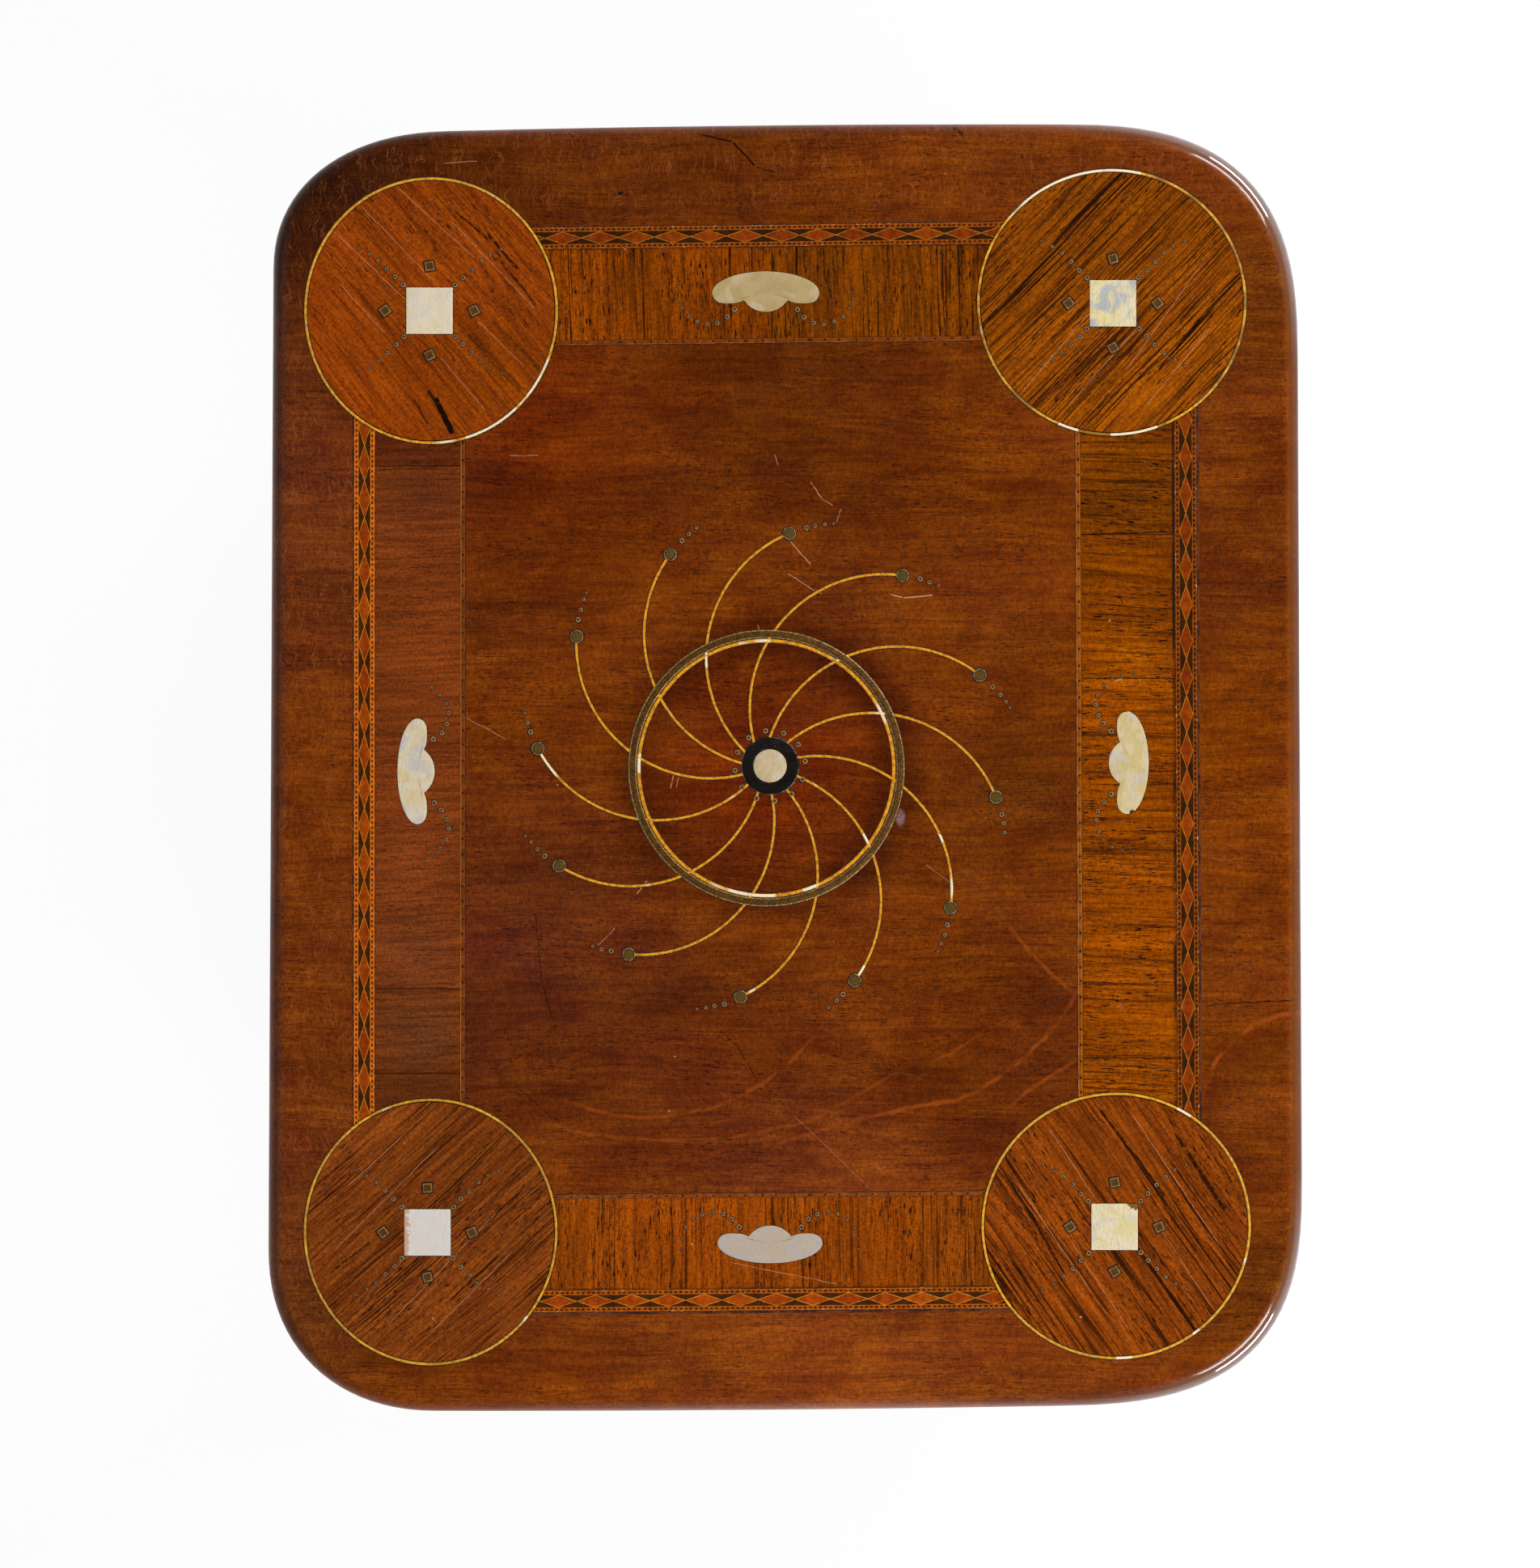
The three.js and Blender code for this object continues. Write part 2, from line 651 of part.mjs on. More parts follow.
function railTenon(sign, reach, grow) {
  const middle = legOuterY - railReveal - railThickness / 2;
  const near = middle - railTenonThickness / 2 - grow;
  const far = middle + railTenonThickness / 2 + grow;
  const across = sign > 0 ? [near, far] : [-far, -near];
  const low = railBottom + railTenonShoulder - grow;
  const high = railTop - railTenonShoulder + grow;
  return boxBetween([-reach, across[0], low], [reach, across[1], high]);
}

const railReach = legOuterX - legWidthAt(railTop) + railTenonLength;
["front", "back"].forEach((side) => {
  const sign = sides[side];
  const shoulderAt = (z) => legOuterX - legWidthAt(z) - jointGap;
  const shape = new THREE.Shape();
  shape.moveTo(-shoulderAt(railBottom), railBottom);
  shape.lineTo(shoulderAt(railBottom), railBottom);
  shape.lineTo(shoulderAt(railTop), railTop);
  shape.lineTo(-shoulderAt(railTop), railTop);
  const board = new THREE.ExtrudeGeometry(shape, { depth: railThickness, bevelEnabled: false });
  // the section is drawn in X and Z, so it is stood up and moved out to its end of the table
  board.rotateX(Math.PI / 2);
  const outer = legOuterY - railReveal;
  board.translate(0, sign > 0 ? outer : railThickness - outer, 0);
  const rail = solidOf(board).add(railTenon(sign, railReach, 0));
  addPiece(`end_rail_${side}`, rail, woods.mahogany);
});

// Legs with their mortises
legPlaces.forEach(([end, side]) => {
  let leg = legSolid(sides[side], sides[end], 0);
  leg = leg.subtract(apronTenons[end](jointGap)).subtract(apronTenons[side](jointGap));
  leg = leg.subtract(railTenon(sides[end], railReach + jointGap, jointGap));
  addPiece(`leg_${end}_${side}`, leg, woods.mahogany);
});

// Shelf: round-edged board, notched at its corners round the legs
const shelfCorners = cornersInOrder.map(() => ({
  alongEnd: shelfCornerRadius, alongSide: shelfCornerRadius, fullness: roundFullness,
}));
const shelfHalfX = legOuterX - shelfReveal;
const shelfHalfY = legOuterY - shelfReveal;

function shelfRing(inset, z) {
  return { z, points: roundedOutline(shelfHalfX, shelfHalfY, shelfCorners, inset) };
}

let shelf = loft([
  shelfRing(shelfRound / 2, shelfUnderside),
  shelfRing(0, shelfUnderside + shelfRound / 2),
  shelfRing(0, shelfTop - shelfRound),
  shelfRing(shelfRound / 3, shelfTop - shelfRound / 3),
  shelfRing(shelfRound, shelfTop),
]);
legPlaces.forEach(([end, side]) => {
  shelf = shelf.subtract(legSolid(sides[side], sides[end], jointGap));
});
addPiece("shelf", shelf, woods.mahogany);

// Glue blocks in the corners of the frame, cut round the leg and pressed up under the top
legPlaces.forEach(([end, side]) => {
  const faceX = legOuterX - apronReveal - apronThickness;
  const faceY = legOuterY - apronReveal - apronThickness;
  const cornerX = legInnerX - jointGap;
  const cornerY = legInnerY - jointGap;
  const outline = [
    [faceX, cornerY], [cornerX, cornerY], [cornerX, faceY],
    [cornerX - blockReach, faceY], [faceX, cornerY - blockReach],
  ].map(([x, y]) => [sides[side] * x, sides[end] * y]);
  const block = slab(polygonShape(outline), topUnderside - blockHeight, topUnderside);
  addPiece(`corner_block_${end}_${side}`, block, woods.mahogany);
});

export default table;
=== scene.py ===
import math

import bpy
import numpy as np
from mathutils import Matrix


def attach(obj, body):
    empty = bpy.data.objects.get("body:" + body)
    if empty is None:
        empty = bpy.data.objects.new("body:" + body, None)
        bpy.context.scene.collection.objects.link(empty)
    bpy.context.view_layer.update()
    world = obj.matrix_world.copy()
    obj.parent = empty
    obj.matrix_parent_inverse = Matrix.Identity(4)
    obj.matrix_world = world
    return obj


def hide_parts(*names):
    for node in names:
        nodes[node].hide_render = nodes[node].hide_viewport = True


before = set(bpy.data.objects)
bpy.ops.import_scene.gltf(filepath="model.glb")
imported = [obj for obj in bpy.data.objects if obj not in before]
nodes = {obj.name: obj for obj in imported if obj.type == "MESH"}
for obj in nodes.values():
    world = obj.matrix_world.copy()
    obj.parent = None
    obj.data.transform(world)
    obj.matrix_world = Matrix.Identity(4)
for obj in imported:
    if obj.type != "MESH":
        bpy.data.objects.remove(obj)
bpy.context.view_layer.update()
mm = 0.001
print("frame loaded:", len(nodes), "nodes")

# Mesh helpers


def skin(rings, closed=False, uv=None):
    # rings is rows x count x 3 in mm. Each ring is a closed loop, joined to the next ring by quads.
    # closed joins the last ring to the first; otherwise a fan to each end's middle shuts the ends.
    # uv is (u of each ring, v of each loop point and once more the first), in its own units.
    rings = np.asarray(rings, float)
    rows, count = rings.shape[:2]
    row, col = np.meshgrid(np.arange(rows if closed else rows - 1), np.arange(count), indexing="ij")
    below, beside = (row + 1) % rows, (col + 1) % count
    quads = np.stack([row * count + col, row * count + beside, below * count + beside, below * count + col], -1)
    faces, points, corners = [quads.reshape(-1, 4)], rings.reshape(-1, 3), []
    if uv is not None:
        u, v = (np.asarray(part, float) for part in uv)
        around = np.stack([u[[row, row, row + 1, row + 1]], v[[col, col + 1, col + 1, col]]], -1)
        corners.append(np.moveaxis(around, 0, 2).reshape(-1, 2))
    if not closed:
        step = np.arange(count)
        after, last = (step + 1) % count, (rows - 1) * count
        faces.append(np.stack([np.full(count, rows * count), after, step], -1))
        faces.append(np.stack([np.full(count, rows * count + 1), last + step, last + after], -1))
        points = np.concatenate([points, rings[[0, -1]].mean(axis=1)])
        if uv is not None:
            for end in (u[0], u[rows - 1]):
                fan = np.stack([np.full(count, 0.5), v[step], v[step + 1]], -1)
                corners.append(np.stack([np.full(fan.shape, end), fan], -1).reshape(-1, 2))
    return {"points": points, "faces": faces, "corners": corners}


def copies(shape, places, sizes, turns):
    # the shape's points, scaled by each size, turned about Z by each turn and moved to each (x, y, z)
    places, sizes, turns = (np.asarray(part, float) for part in (places, sizes, turns))
    scaled = shape["points"][None] * sizes[:, None, None]
    cos, sin = np.cos(turns)[:, None], np.sin(turns)[:, None]
    x, y = scaled[..., 0] * cos - scaled[..., 1] * sin, scaled[..., 0] * sin + scaled[..., 1] * cos
    points = np.stack([x, y, scaled[..., 2]], -1) + places[:, None, :]
    shift = np.arange(len(places))[:, None, None] * len(shape["points"])
    faces = [(face[None] + shift).reshape(-1, face.shape[1]) for face in shape["faces"]]
    return {"points": points.reshape(-1, 3), "faces": faces,
            "corners": [np.tile(group, (len(places), 1)) for group in shape["corners"]]}


def makePiece(name, skins, material, replaces=(), crease=35):
    # puts one or more skins into one mesh, turns its faces outwards and lets it ride on the table
    points, faces, start = [], [], 0
    for part in skins:
        points.append(part["points"])
        faces += [corner for face in part["faces"] for corner in (face + start).tolist()]
        start += len(part["points"])
    mesh = bpy.data.meshes.new(name)
    mesh.from_pydata((np.concatenate(points) * mm).tolist(), [], faces)
    if all(part["corners"] for part in skins):
        layer = mesh.uv_layers.new(name="along and across")
        corners = np.concatenate([group for part in skins for group in part["corners"]])
        layer.data.foreach_set("uv", corners.astype(np.float32).ravel())
    piece = bpy.data.objects.new(name, mesh)
    bpy.context.scene.collection.objects.link(piece)
    bpy.context.view_layer.objects.active = piece
    bpy.ops.object.select_all(action="DESELECT")
    piece.select_set(True)
    bpy.ops.object.mode_set(mode="EDIT")
    bpy.ops.mesh.select_all(action="SELECT")
    bpy.ops.mesh.normals_make_consistent(inside=False)
    bpy.ops.object.mode_set(mode="OBJECT")
    mesh.shade_smooth()
    mesh.set_sharp_from_angle(angle=math.radians(crease))
    mesh.materials.append(material)
    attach(piece, "root")
    if replaces:
        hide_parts(*replaces)
    return piece


def stack(outline, profile):
    # outline(inset) gives a loop of (x, y); profile is rows of (inset, z): one loop a row
    loops = [np.column_stack([outline(inset), np.full(len(outline(inset)), z)]) for inset, z in profile]
    return np.stack(loops)


def circle(centre, radii, steps):
    # (cx + rx cos t, cy + ry sin t) for t round a whole turn
    t = np.arange(steps) * 2 * math.pi / steps
    return np.stack([centre[0] + radii[0] * np.cos(t), centre[1] + radii[1] * np.sin(t)], -1)


def annulus(centre, radii, section, steps, across=None, length=1):
    # every point (outwards, z) of the section's closed loop runs once round the ellipse
    t = np.arange(steps) * 2 * math.pi / steps
    section = np.asarray(section, float)
    x = centre[0] + (radii[0] + section[None, :, 0]) * np.cos(t)[:, None]
    y = centre[1] + (radii[1] + section[None, :, 0]) * np.sin(t)[:, None]
    uv = None if across is None else (np.linspace(0, length, steps + 1), across)
    return skin(np.stack([x, y, np.broadcast_to(section[None, :, 1], x.shape)], -1), closed=True, uv=uv)


# Node helpers. A Flow is a value on its way through a node tree; arithmetic between flows adds the nodes for it.


def tone(red, green, blue):
    # a colour of 0 to 255 as it shows on screen, in the linear values that a shader takes
    c = np.array([red, green, blue]) / 255
    return (*(float(v) for v in np.where(c <= 0.04045, c / 12.92, ((c + 0.055) / 1.055) ** 2.4)), 1)


def fill(socket, value):
    if isinstance(value, Flow):
        value.tree.links.new(value.socket, socket)
    elif socket.type == "RGBA" and len(value) == 3:
        socket.default_value = (*value, 1)
    else:
        socket.default_value = value


def addNode(tree, kind, inputs=None, **settings):
    node = tree.nodes.new("ShaderNode" + kind)
    for key, value in settings.items():
        setattr(node, key, value)
    for key, value in (inputs or {}).items():
        fill(node.inputs[key], value)
    return node


def through(kind, inputs, output=0, **settings):
    # a node in the tree that its inputs come from, read at one of its outputs
    tree = next(value.tree for value in inputs.values() if isinstance(value, Flow))
    return Flow(addNode(tree, kind, inputs, **settings).outputs[output])


def calc(operation, a, b=0, clamp=False):
    return through("Math", {0: a, 1: b}, operation=operation, use_clamp=clamp)


def vector(operation, a, b=(0, 0, 0)):
    output = "Value" if operation in ("LENGTH", "DISTANCE", "DOT_PRODUCT") else "Vector"
    return through("VectorMath", {0: a, "Scale" if operation == "SCALE" else 1: b}, output, operation=operation)


def arithmetic(operation, a, b):
    # Math between numbers, Vector Math where a side has three parts
    many = [value.many if isinstance(value, Flow) else isinstance(value, tuple) for value in (a, b)]
    if operation == "MULTIPLY" and many == [True, False]:
        operation = "SCALE"
    return (vector if any(many) else calc)(operation, a, b)


class Flow:
    def __init__(self, socket):
        self.socket, self.tree, self.many = socket, socket.id_data, socket.type in ("VECTOR", "RGBA")

    def __add__(self, other):
        return arithmetic("ADD", self, other)

    def __sub__(self, other):
        return arithmetic("SUBTRACT", self, other)

    def __rsub__(self, other):
        return arithmetic("SUBTRACT", other, self)

    def __mul__(self, other):
        return arithmetic("MULTIPLY", self, other)

    def __truediv__(self, other):
        return arithmetic("DIVIDE", self, other)

    def __rtruediv__(self, other):
        return arithmetic("DIVIDE", other, self)

    def __abs__(self):
        return calc("ABSOLUTE", self)


def most(a, b):
    return calc("MAXIMUM", a, b)


def fract(a):
    return calc("FRACT", a)


def gapTo(a, b):
    return vector("DISTANCE", a, b)


def dot(a, b):
    return vector("DOT_PRODUCT", a, b)


def ramp(value, low, high, toLow=0, toHigh=1):
    # value from low..high becomes toLow..toHigh along a soft step, and is held at the ends
    return through("MapRange", {"Value": value, "From Min": low, "From Max": high, "To Min": toLow, "To Max": toHigh},
                   "Result", interpolation_type="SMOOTHSTEP")


def mix(amount, a, b, blend="MIX"):
    return through("Mix", {0: amount, 6: a, 7: b}, 2, data_type="RGBA", blend_type=blend)


def tinted(colour, tint):
    return mix(1, colour, tint, "MULTIPLY")


def shaded(colour, value):
    return tinted(colour, join(value, value, value))


def noise(place, detail=2, roughness=0.5, distortion=0, scale=1, output="Fac"):
    return through("TexNoise", {"Vector": place, "Scale": scale, "Detail": detail, "Roughness": roughness,
                                "Distortion": distortion}, output)


def inPlan(place):
    return place * (1, 1, 0)


def split(place):
    return [Flow(output) for output in addNode(place.tree, "SeparateXYZ", {0: place}).outputs]


def join(x=0, y=0, z=0):
    return through("CombineXYZ", {0: x, 1: y, 2: z})


def shaderGroup(name, inputs):
    # makes a node group of the function below it, which takes the group's inputs and returns its outputs by label
    def build(wire):
        group = bpy.data.node_groups.new(name, "ShaderNodeTree")
        for label, value in inputs.items():
            kind = {3: "Vector", 4: "Color"}[len(value)] if isinstance(value, tuple) else "Float"
            socket = group.interface.new_socket(name=label, in_out="INPUT", socket_type="NodeSocket" + kind)
            socket.default_value = value
        given = group.nodes.new("NodeGroupInput").outputs
        made = wire({label: Flow(given[label]) for label in inputs})
        for label in made:
            kind = "Color" if label == "Color" else "Float"
            group.interface.new_socket(name=label, in_out="OUTPUT", socket_type="NodeSocket" + kind)
        ends = group.nodes.new("NodeGroupOutput").inputs
        for label, value in made.items():
            fill(ends[label], value)
        return group
    return build


def useGroup(group, inputs):
    tree = next(value.tree for value in inputs.values() if isinstance(value, Flow))
    return {output.name: Flow(output) for output in addNode(tree, "Group", inputs, node_tree=group).outputs}


socketNames = {"colour": "Base Color", "roughness": "Roughness", "metallic": "Metallic",
               "specular": "Specular IOR Level",
               "coatWeight": "Coat Weight", "coatRoughness": "Coat Roughness", "coatIor": "Coat IOR"}


def newMaterial(name, **constants):
    material = bpy.data.materials.new(name)
    material.use_nodes = True
    for key, value in constants.items():
        material.node_tree.nodes["Principled BSDF"].inputs[socketNames[key]].default_value = value
    return material


def finish(material, colour, height, depth, **varying):
    # depth is how far the height of 1 stands up, in mm; varying are other sockets that change over the surface
    sockets = material.node_tree.nodes["Principled BSDF"].inputs
    for key, value in {"colour": colour, **varying}.items():
        fill(sockets[socketNames[key]], value)
    fill(sockets["Normal"], through("Bump", {"Height": height, "Strength": 1, "Distance": depth * mm}))
    return material


def placeOf(material):
    # the table's own coordinates in mm
    return Flow(addNode(material.node_tree, "TexCoord").outputs["Object"]) * 1000


def alongAndAcross(material):
    # the two parts of a piece's own UV map
    return split(Flow(addNode(material.node_tree, "UVMap", uv_map="along and across").outputs["UV"]))


# Shared effects


@shaderGroup("wood grain", {"Place": (0, 0, 0), "Seed": 0, "Light": tone(130, 66, 20), "Dark": tone(96, 42, 14),
                            "Streak": tone(62, 24, 10), "Streak Amount": 0.5, "Streak Width": 1, "Streak Level": 0.53,
                            "Speckle": 0.42, "Pore": tone(40, 16, 8), "Pore Amount": 0.7, "Bend": 14, "Blot": 0})
def woodGrain(given):
    # Wood cut along the grain, which runs along the place's X: broad figure, dark streaks, fibres and open pores.
    # Every part is one noise stretched along X, on a place that a slow noise bends across the grain.
    place = given["Place"] + join(z=given["Seed"])
    slow = noise(place * (0.0075, 0.024, 0.024), 2)
    bent = place + join(y=(slow - 0.5) * given["Bend"])
    figure = noise(bent * (0.032, 0.4, 0.4), 4, 0.62)
    cloud = noise(bent * (0.009, 0.03, 0.03), 3, 0.55)
    thin = 0.95 / given["Streak Width"]
    streak = noise(bent * join(0.02, thin, thin), 3, 0.55)
    gather = noise(bent * (0.008, 0.09, 0.09), 2)
    fibre = noise(bent * (0.09, 2.6, 2.6), 2, 0.6)
    dash = noise(bent * (0.22, 1.75, 1.75), 2, 0.55)
    crowd = noise(bent * (0.02, 0.045, 0.045), 2)
    speckle = noise(place * (0.95, 0.6, 0.6), 3, 0.75)
    blot = noise(bent * (0.3, 0.55, 0.55), 3, 0.65)
    figure = ramp(figure, 0.3, 0.7)
    streak = ramp(streak, given["Streak Level"], given["Streak Level"] + 0.11) * ramp(gather, 0.35, 0.6, 0.25, 1)
    streak = streak * given["Streak Amount"]
    dash = ramp(dash, 0.57, 0.65) * ramp(crowd, 0.36, 0.6, 0.3, 1)
    dash = dash * given["Pore Amount"]
    colour = mix(figure, given["Dark"], given["Light"])
    colour = mix(streak, colour, given["Streak"])
    speckle = (speckle - 0.5) * (given["Speckle"] * 5)
    shade = ramp(fibre, 0.25, 0.75, 0.86, 1.11) * (speckle + 1)
    shade = shade * ramp(cloud, 0.32, 0.68, 0.84, 1.16)
    colour = shaded(colour, shade)
    blot = ramp(blot, 0.58, 0.68) * (ramp(crowd, 0.4, 0.6, 0.25, 1) * given["Blot"])
    return {"Color": mix(most(dash, blot), colour, given["Pore"]), "Height": fibre * 0.3 - dash, "Tone": figure}


@shaderGroup("line mark", { "Place": (0, 0, 0), "From": (0, 0, 0), "To": (10, 0, 0), "Width": 0.5, })
def lineMark(given):
    # How near the place lies to a straight line between two points, in plan: 1 on the line, 0 beyond its width.
    # The mask fades at both ends.
    reach = given["To"] - given["From"]
    away = given["Place"] - given["From"]
    along = calc("DIVIDE", dot(away, reach), dot(reach, reach), clamp=True)
    gap = gapTo(away, reach * along)
    near = ramp(gap / given["Width"], 0.35, 1, 1, 0)
    ends = along * (1 - along)
    return {"Mask": near * ramp(ends, 0, 0.06)}


@shaderGroup("arc mark", {"Place": (0, 0, 0), "Middle": (0, 0, 0), "Radius": 100, "Start": 0, "End": 100,
                          "Width": 0.7, "Side": 1})
def arcMark(given):
    # How near the place lies to a circle, in plan, between two values of x: 1 on the circle, 0 beyond its width.
    # Side is 1 for the half behind the circle's middle and -1 for the half in front of it.
    gap = abs(gapTo(given["Place"], given["Middle"]) - given["Radius"])
    near = ramp(gap / given["Width"], 0.1, 1, 1, 0)
    half = split(given["Place"] - given["Middle"])[1] * given["Side"]
    near = near * calc("GREATER_THAN", half, 0)
    x = split(given["Place"])[0]
    ends = ramp(x - given["Start"], 0, 12) * ramp(given["End"] - x, 0, 12)
    return {"Mask": near * ends}


@shaderGroup("flecks", { "Place": (0, 0, 0), "Spacing": 12, "Size": 0.05, "Share": 0.3, })
def flecks(given):
    # Small round specks: near the middles of scattered cells, on the few cells that a random value picks.
    place = given["Place"] * (1 / given["Spacing"])
    cells = addNode(place.tree, "TexVoronoi", {"Vector": place, "Scale": 1}).outputs
    chance = split(Flow(cells["Color"]))[0]
    speck = ramp(Flow(cells["Distance"]) / given["Size"], 0.5, 1, 1, 0)
    return {"Mask": speck * calc("LESS_THAN", chance, given["Share"])}


def flatPlace(place, waver):
    # the place in plan, with a fine noise that makes straight marks waver by so many mm
    bend = (noise(place, scale=0.16, output="Color") - (0.5, 0.5, 0.5)) * waver
    return inPlan(place + bend)


def drawMarks(place, marks, waver=1.2):
    # the strongest of several line marks; each is (from, to, width, strength)
    flat, strongest = flatPlace(place, waver), 0
    for start, end, width, strength in marks:
        mask = useGroup(lineMark, {"Place": flat, "From": (*start, 0), "To": (*end, 0),
                                   "Width": width * 0.75})["Mask"]
        strongest = most(mask * strength, strongest)
    worn = ramp(noise(place * 0.45, 2), 0.32, 0.5, 0.35, 1)
    return strongest * worn


def stain(place, colour, spots):
    # soft round patches of another tone: each spot is (middle, reach, tint that multiplies, amount)
    for middle, reach, tint, amount in spots:
        gap = gapTo(inPlan(place), (*middle, 0))
        near = ramp(gap / reach, 0, 1, amount, 0)
        colour = mix(near, colour, tinted(colour, tint))
    return colour


def turned(place, degrees):
    # the place turned so that a grain at this angle from +X lies along X
    return through("Mapping", {"Vector": place, "Rotation": (0, 0, math.radians(-degrees))})


print("effects built")

# Top board

board = {
    "halfWidth": 225, "halfLength": 278.5, "height": 700, "thickness": 20, "cornerSteps": 22, "sideSteps": 10,
    # reach along the end, reach along the side and fullness: back right, back left, front left, front right
    "corners": ((103, 101.5, 2.78), (77, 59, 2.26), (73.5, 71, 2.2), (107, 98.5, 2.86)),
    "skew": 2.1, "flare": 1.4, "bows": (2.6, 1.9),  # ends out of square and bowed, sides widening to the front
    "thumbWidth": 8, "thumbDepth": 10, "underset": 5, "swell": 8,
    "faceDrop": 0.1,  # the wood has worn down this far below its inlays
    "light": (123, 57, 6), "dark": (103, 43, 5), "streak": (70, 25, 5), "pore": (42, 14, 6),
}
faceHeight = board["height"] - board["faceDrop"]


def onTop(section):
    # rows of (outwards, up from the top's level) become rows of (outwards, z)
    return [(out, board["height"] + up) for out, up in section]


def boardOutline(inset):
    # four full corners anticlockwise from the back right, |x / a|^n + |y / b|^n = 1, joined by straight runs, then
    # put out of square and widened to the front, with both ends bowed by (1 - (x / halfWidth)^2) (y / halfLength)^4
    arcs = []
    for corner, (sx, sy) in enumerate(((1, 1), (-1, 1), (-1, -1), (1, -1))):
        alongEnd, alongSide, fullness = board["corners"][corner]
        t = (corner + np.linspace(0, 1, board["cornerSteps"] + 1)) * math.pi / 2
        cos, sin = (np.sign(part) * np.abs(part) ** (2 / fullness) for part in (np.cos(t), np.sin(t)))
        arcs.append(np.stack([sx * (board["halfWidth"] - alongEnd) + (alongEnd - inset) * cos,
                              sy * (board["halfLength"] - alongSide) + (alongSide - inset) * sin], -1))
    share = np.linspace(0, 1, board["sideSteps"] + 2)[1:-1, None]
    runs = [np.concatenate([arcs[k], arcs[k][-1] * (1 - share) + arcs[(k + 1) % 4][0] * share]) for k in range(4)]
    x, y = np.concatenate(runs).T
    bow = np.where(y > 0, board["bows"][0], -board["bows"][1])
    bow = bow * (1 - (x / board["halfWidth"]) ** 2) * (y / board["halfLength"]) ** 4
    return np.stack([x * (1 - board["flare"] * y / (board["halfLength"] * board["halfWidth"])),
                     y + board["skew"] * x / board["halfWidth"] + bow], -1)


def boardProfile():
    # from the face's middle over the thumb, a quarter ellipse, down the edge and round the swell to the underside
    t = np.linspace(0, 1, 13) * math.pi / 2
    thumb = np.stack([board["thumbWidth"] * (1 - np.cos(t[::-1])),
                      faceHeight - board["thumbDepth"] * (1 - np.sin(t[::-1]))], -1)
    foot = board["height"] - board["thickness"]
    swell = np.stack([board["underset"] * (1 - np.cos(t[:9])), foot + board["swell"] * (1 - np.sin(t[:9]))], -1)
    face = [(60, faceHeight), (30, faceHeight), (14, faceHeight), (9.5, faceHeight)]
    under = [(board["underset"] + 1, foot), (board["underset"] + 8, foot), (60, foot)]
    return [*face, *thumb, *swell, (board["underset"], foot), *under]


scratches = {
    "pale": [
        ((1.9, 99.1), (11.3, 88.3), 0.42, 0.75), ((0.4, 84.9), (16.2, 75.6), 0.4, 0.6),
        ((45.8, 76), (51.1, 74.2), 0.45, 0.8), ((51.1, 74.2), (64.5, 75.6), 0.5, 0.85),
        ((10.9, 124.9), (15.9, 117.2), 0.4, 0.7), ((15.9, 117.2), (20.8, 114.4), 0.35, 0.5),
        ((24.3, 113), (22.2, 107), 0.35, 0.55), ((-120.5, 136.2), (-107.1, 136.2), 0.35, 0.55),
        ((-144.8, 25.2), (-121.6, 12.5), 0.3, 0.45), ((-48.6, -1.6), (-50, -9), 0.45, 0.6),
        ((-46, -2.4), (-47.6, -8.6), 0.35, 0.5), ((-81.8, -77.4), (-74, -69.2), 0.35, 0.5),
        ((3.2, -150.7), (37.7, -183.8), 0.28, 0.3), ((-65, -55), (-60, -49), 0.5, 0.5),
        ((-12, 62.5), (-10.5, 58), 0.4, 0.55), ((61, -42), (72, -50), 0.3, 0.35), ((87, 190), (101, 179), 0.3, 0.4),
        ((92, 192), (99, 186.5), 0.28, 0.35), ((-150, 263.5), (-134, 264.5), 0.3, 0.5),
        ((-5, 137), (-3, 132), 0.35, 0.5),
    ],
    "dark": [
        ((-109, -61.9), (-106.1, -93.6), 0.42, 0.85), ((-106.1, -93.6), (-99.7, -115.2), 0.4, 0.75),
        ((30.3, -75.6), (18.7, -91.8), 0.3, 0.45), ((18.7, -91.8), (14.1, -106), 0.3, 0.4),
        ((-28.5, -114), (-21, -121), 0.45, 0.8), ((-21, -121), (-12, -136.6), 0.45, 0.85),
        ((-28.5, -114), (-32, -131), 0.3, 0.5), ((-117, -139), (-98, -155), 0.4, 0.65),
        ((18.3, -113), (-13, -129.5), 0.3, 0.45), ((-39.1, 276.5), (-23, 272.9), 0.8, 1.1),
        ((-23, 272.9), (-13, 262), 0.8, 1.1), ((-13, 262), (-4, 259.5), 0.5, 0.8),
        ((-73.2, 250.2), (-70.8, 250.8), 1.1, 1), ((183, -103.4), (205, -102), 0.4, 0.95),
        ((204, -102), (224.5, -101), 0.5, 1), ((73.5, 279.5), (77.5, 276), 1.8, 1),
        ((-128, 66), (-108, 68.5), 0.25, 0.3),
    ],
}


# (middle, radius, from x, to x, width, strength, side)
yearRings = [
    ((131.4, -540.5), 400, -8, 79, 1.5, 0.5, 1), ((33.5, -45.8), 106.9, 68.7, 132, 1.5, 0.5, -1),
    ((255, -347.4), 254.8, 92, 131, 1.3, 0.4, 1), ((198.3, 1.5), 122.8, 90, 129, 1.4, 0.4, -1),
    ((-171.8, 237.2), 430.5, 17, 54, 1.2, 0.35, -1), ((7.6, 0), 139.6, 55, 88, 1.2, 0.35, -1),
    ((-60, -60), 92, -100, 20, 1.4, 0.35, -1), ((-50, 60), 222, -110, 30, 1.3, 0.35, -1),
    ((226, -151.6), 45, 176, 236, 1.6, 0.5, 1),
]

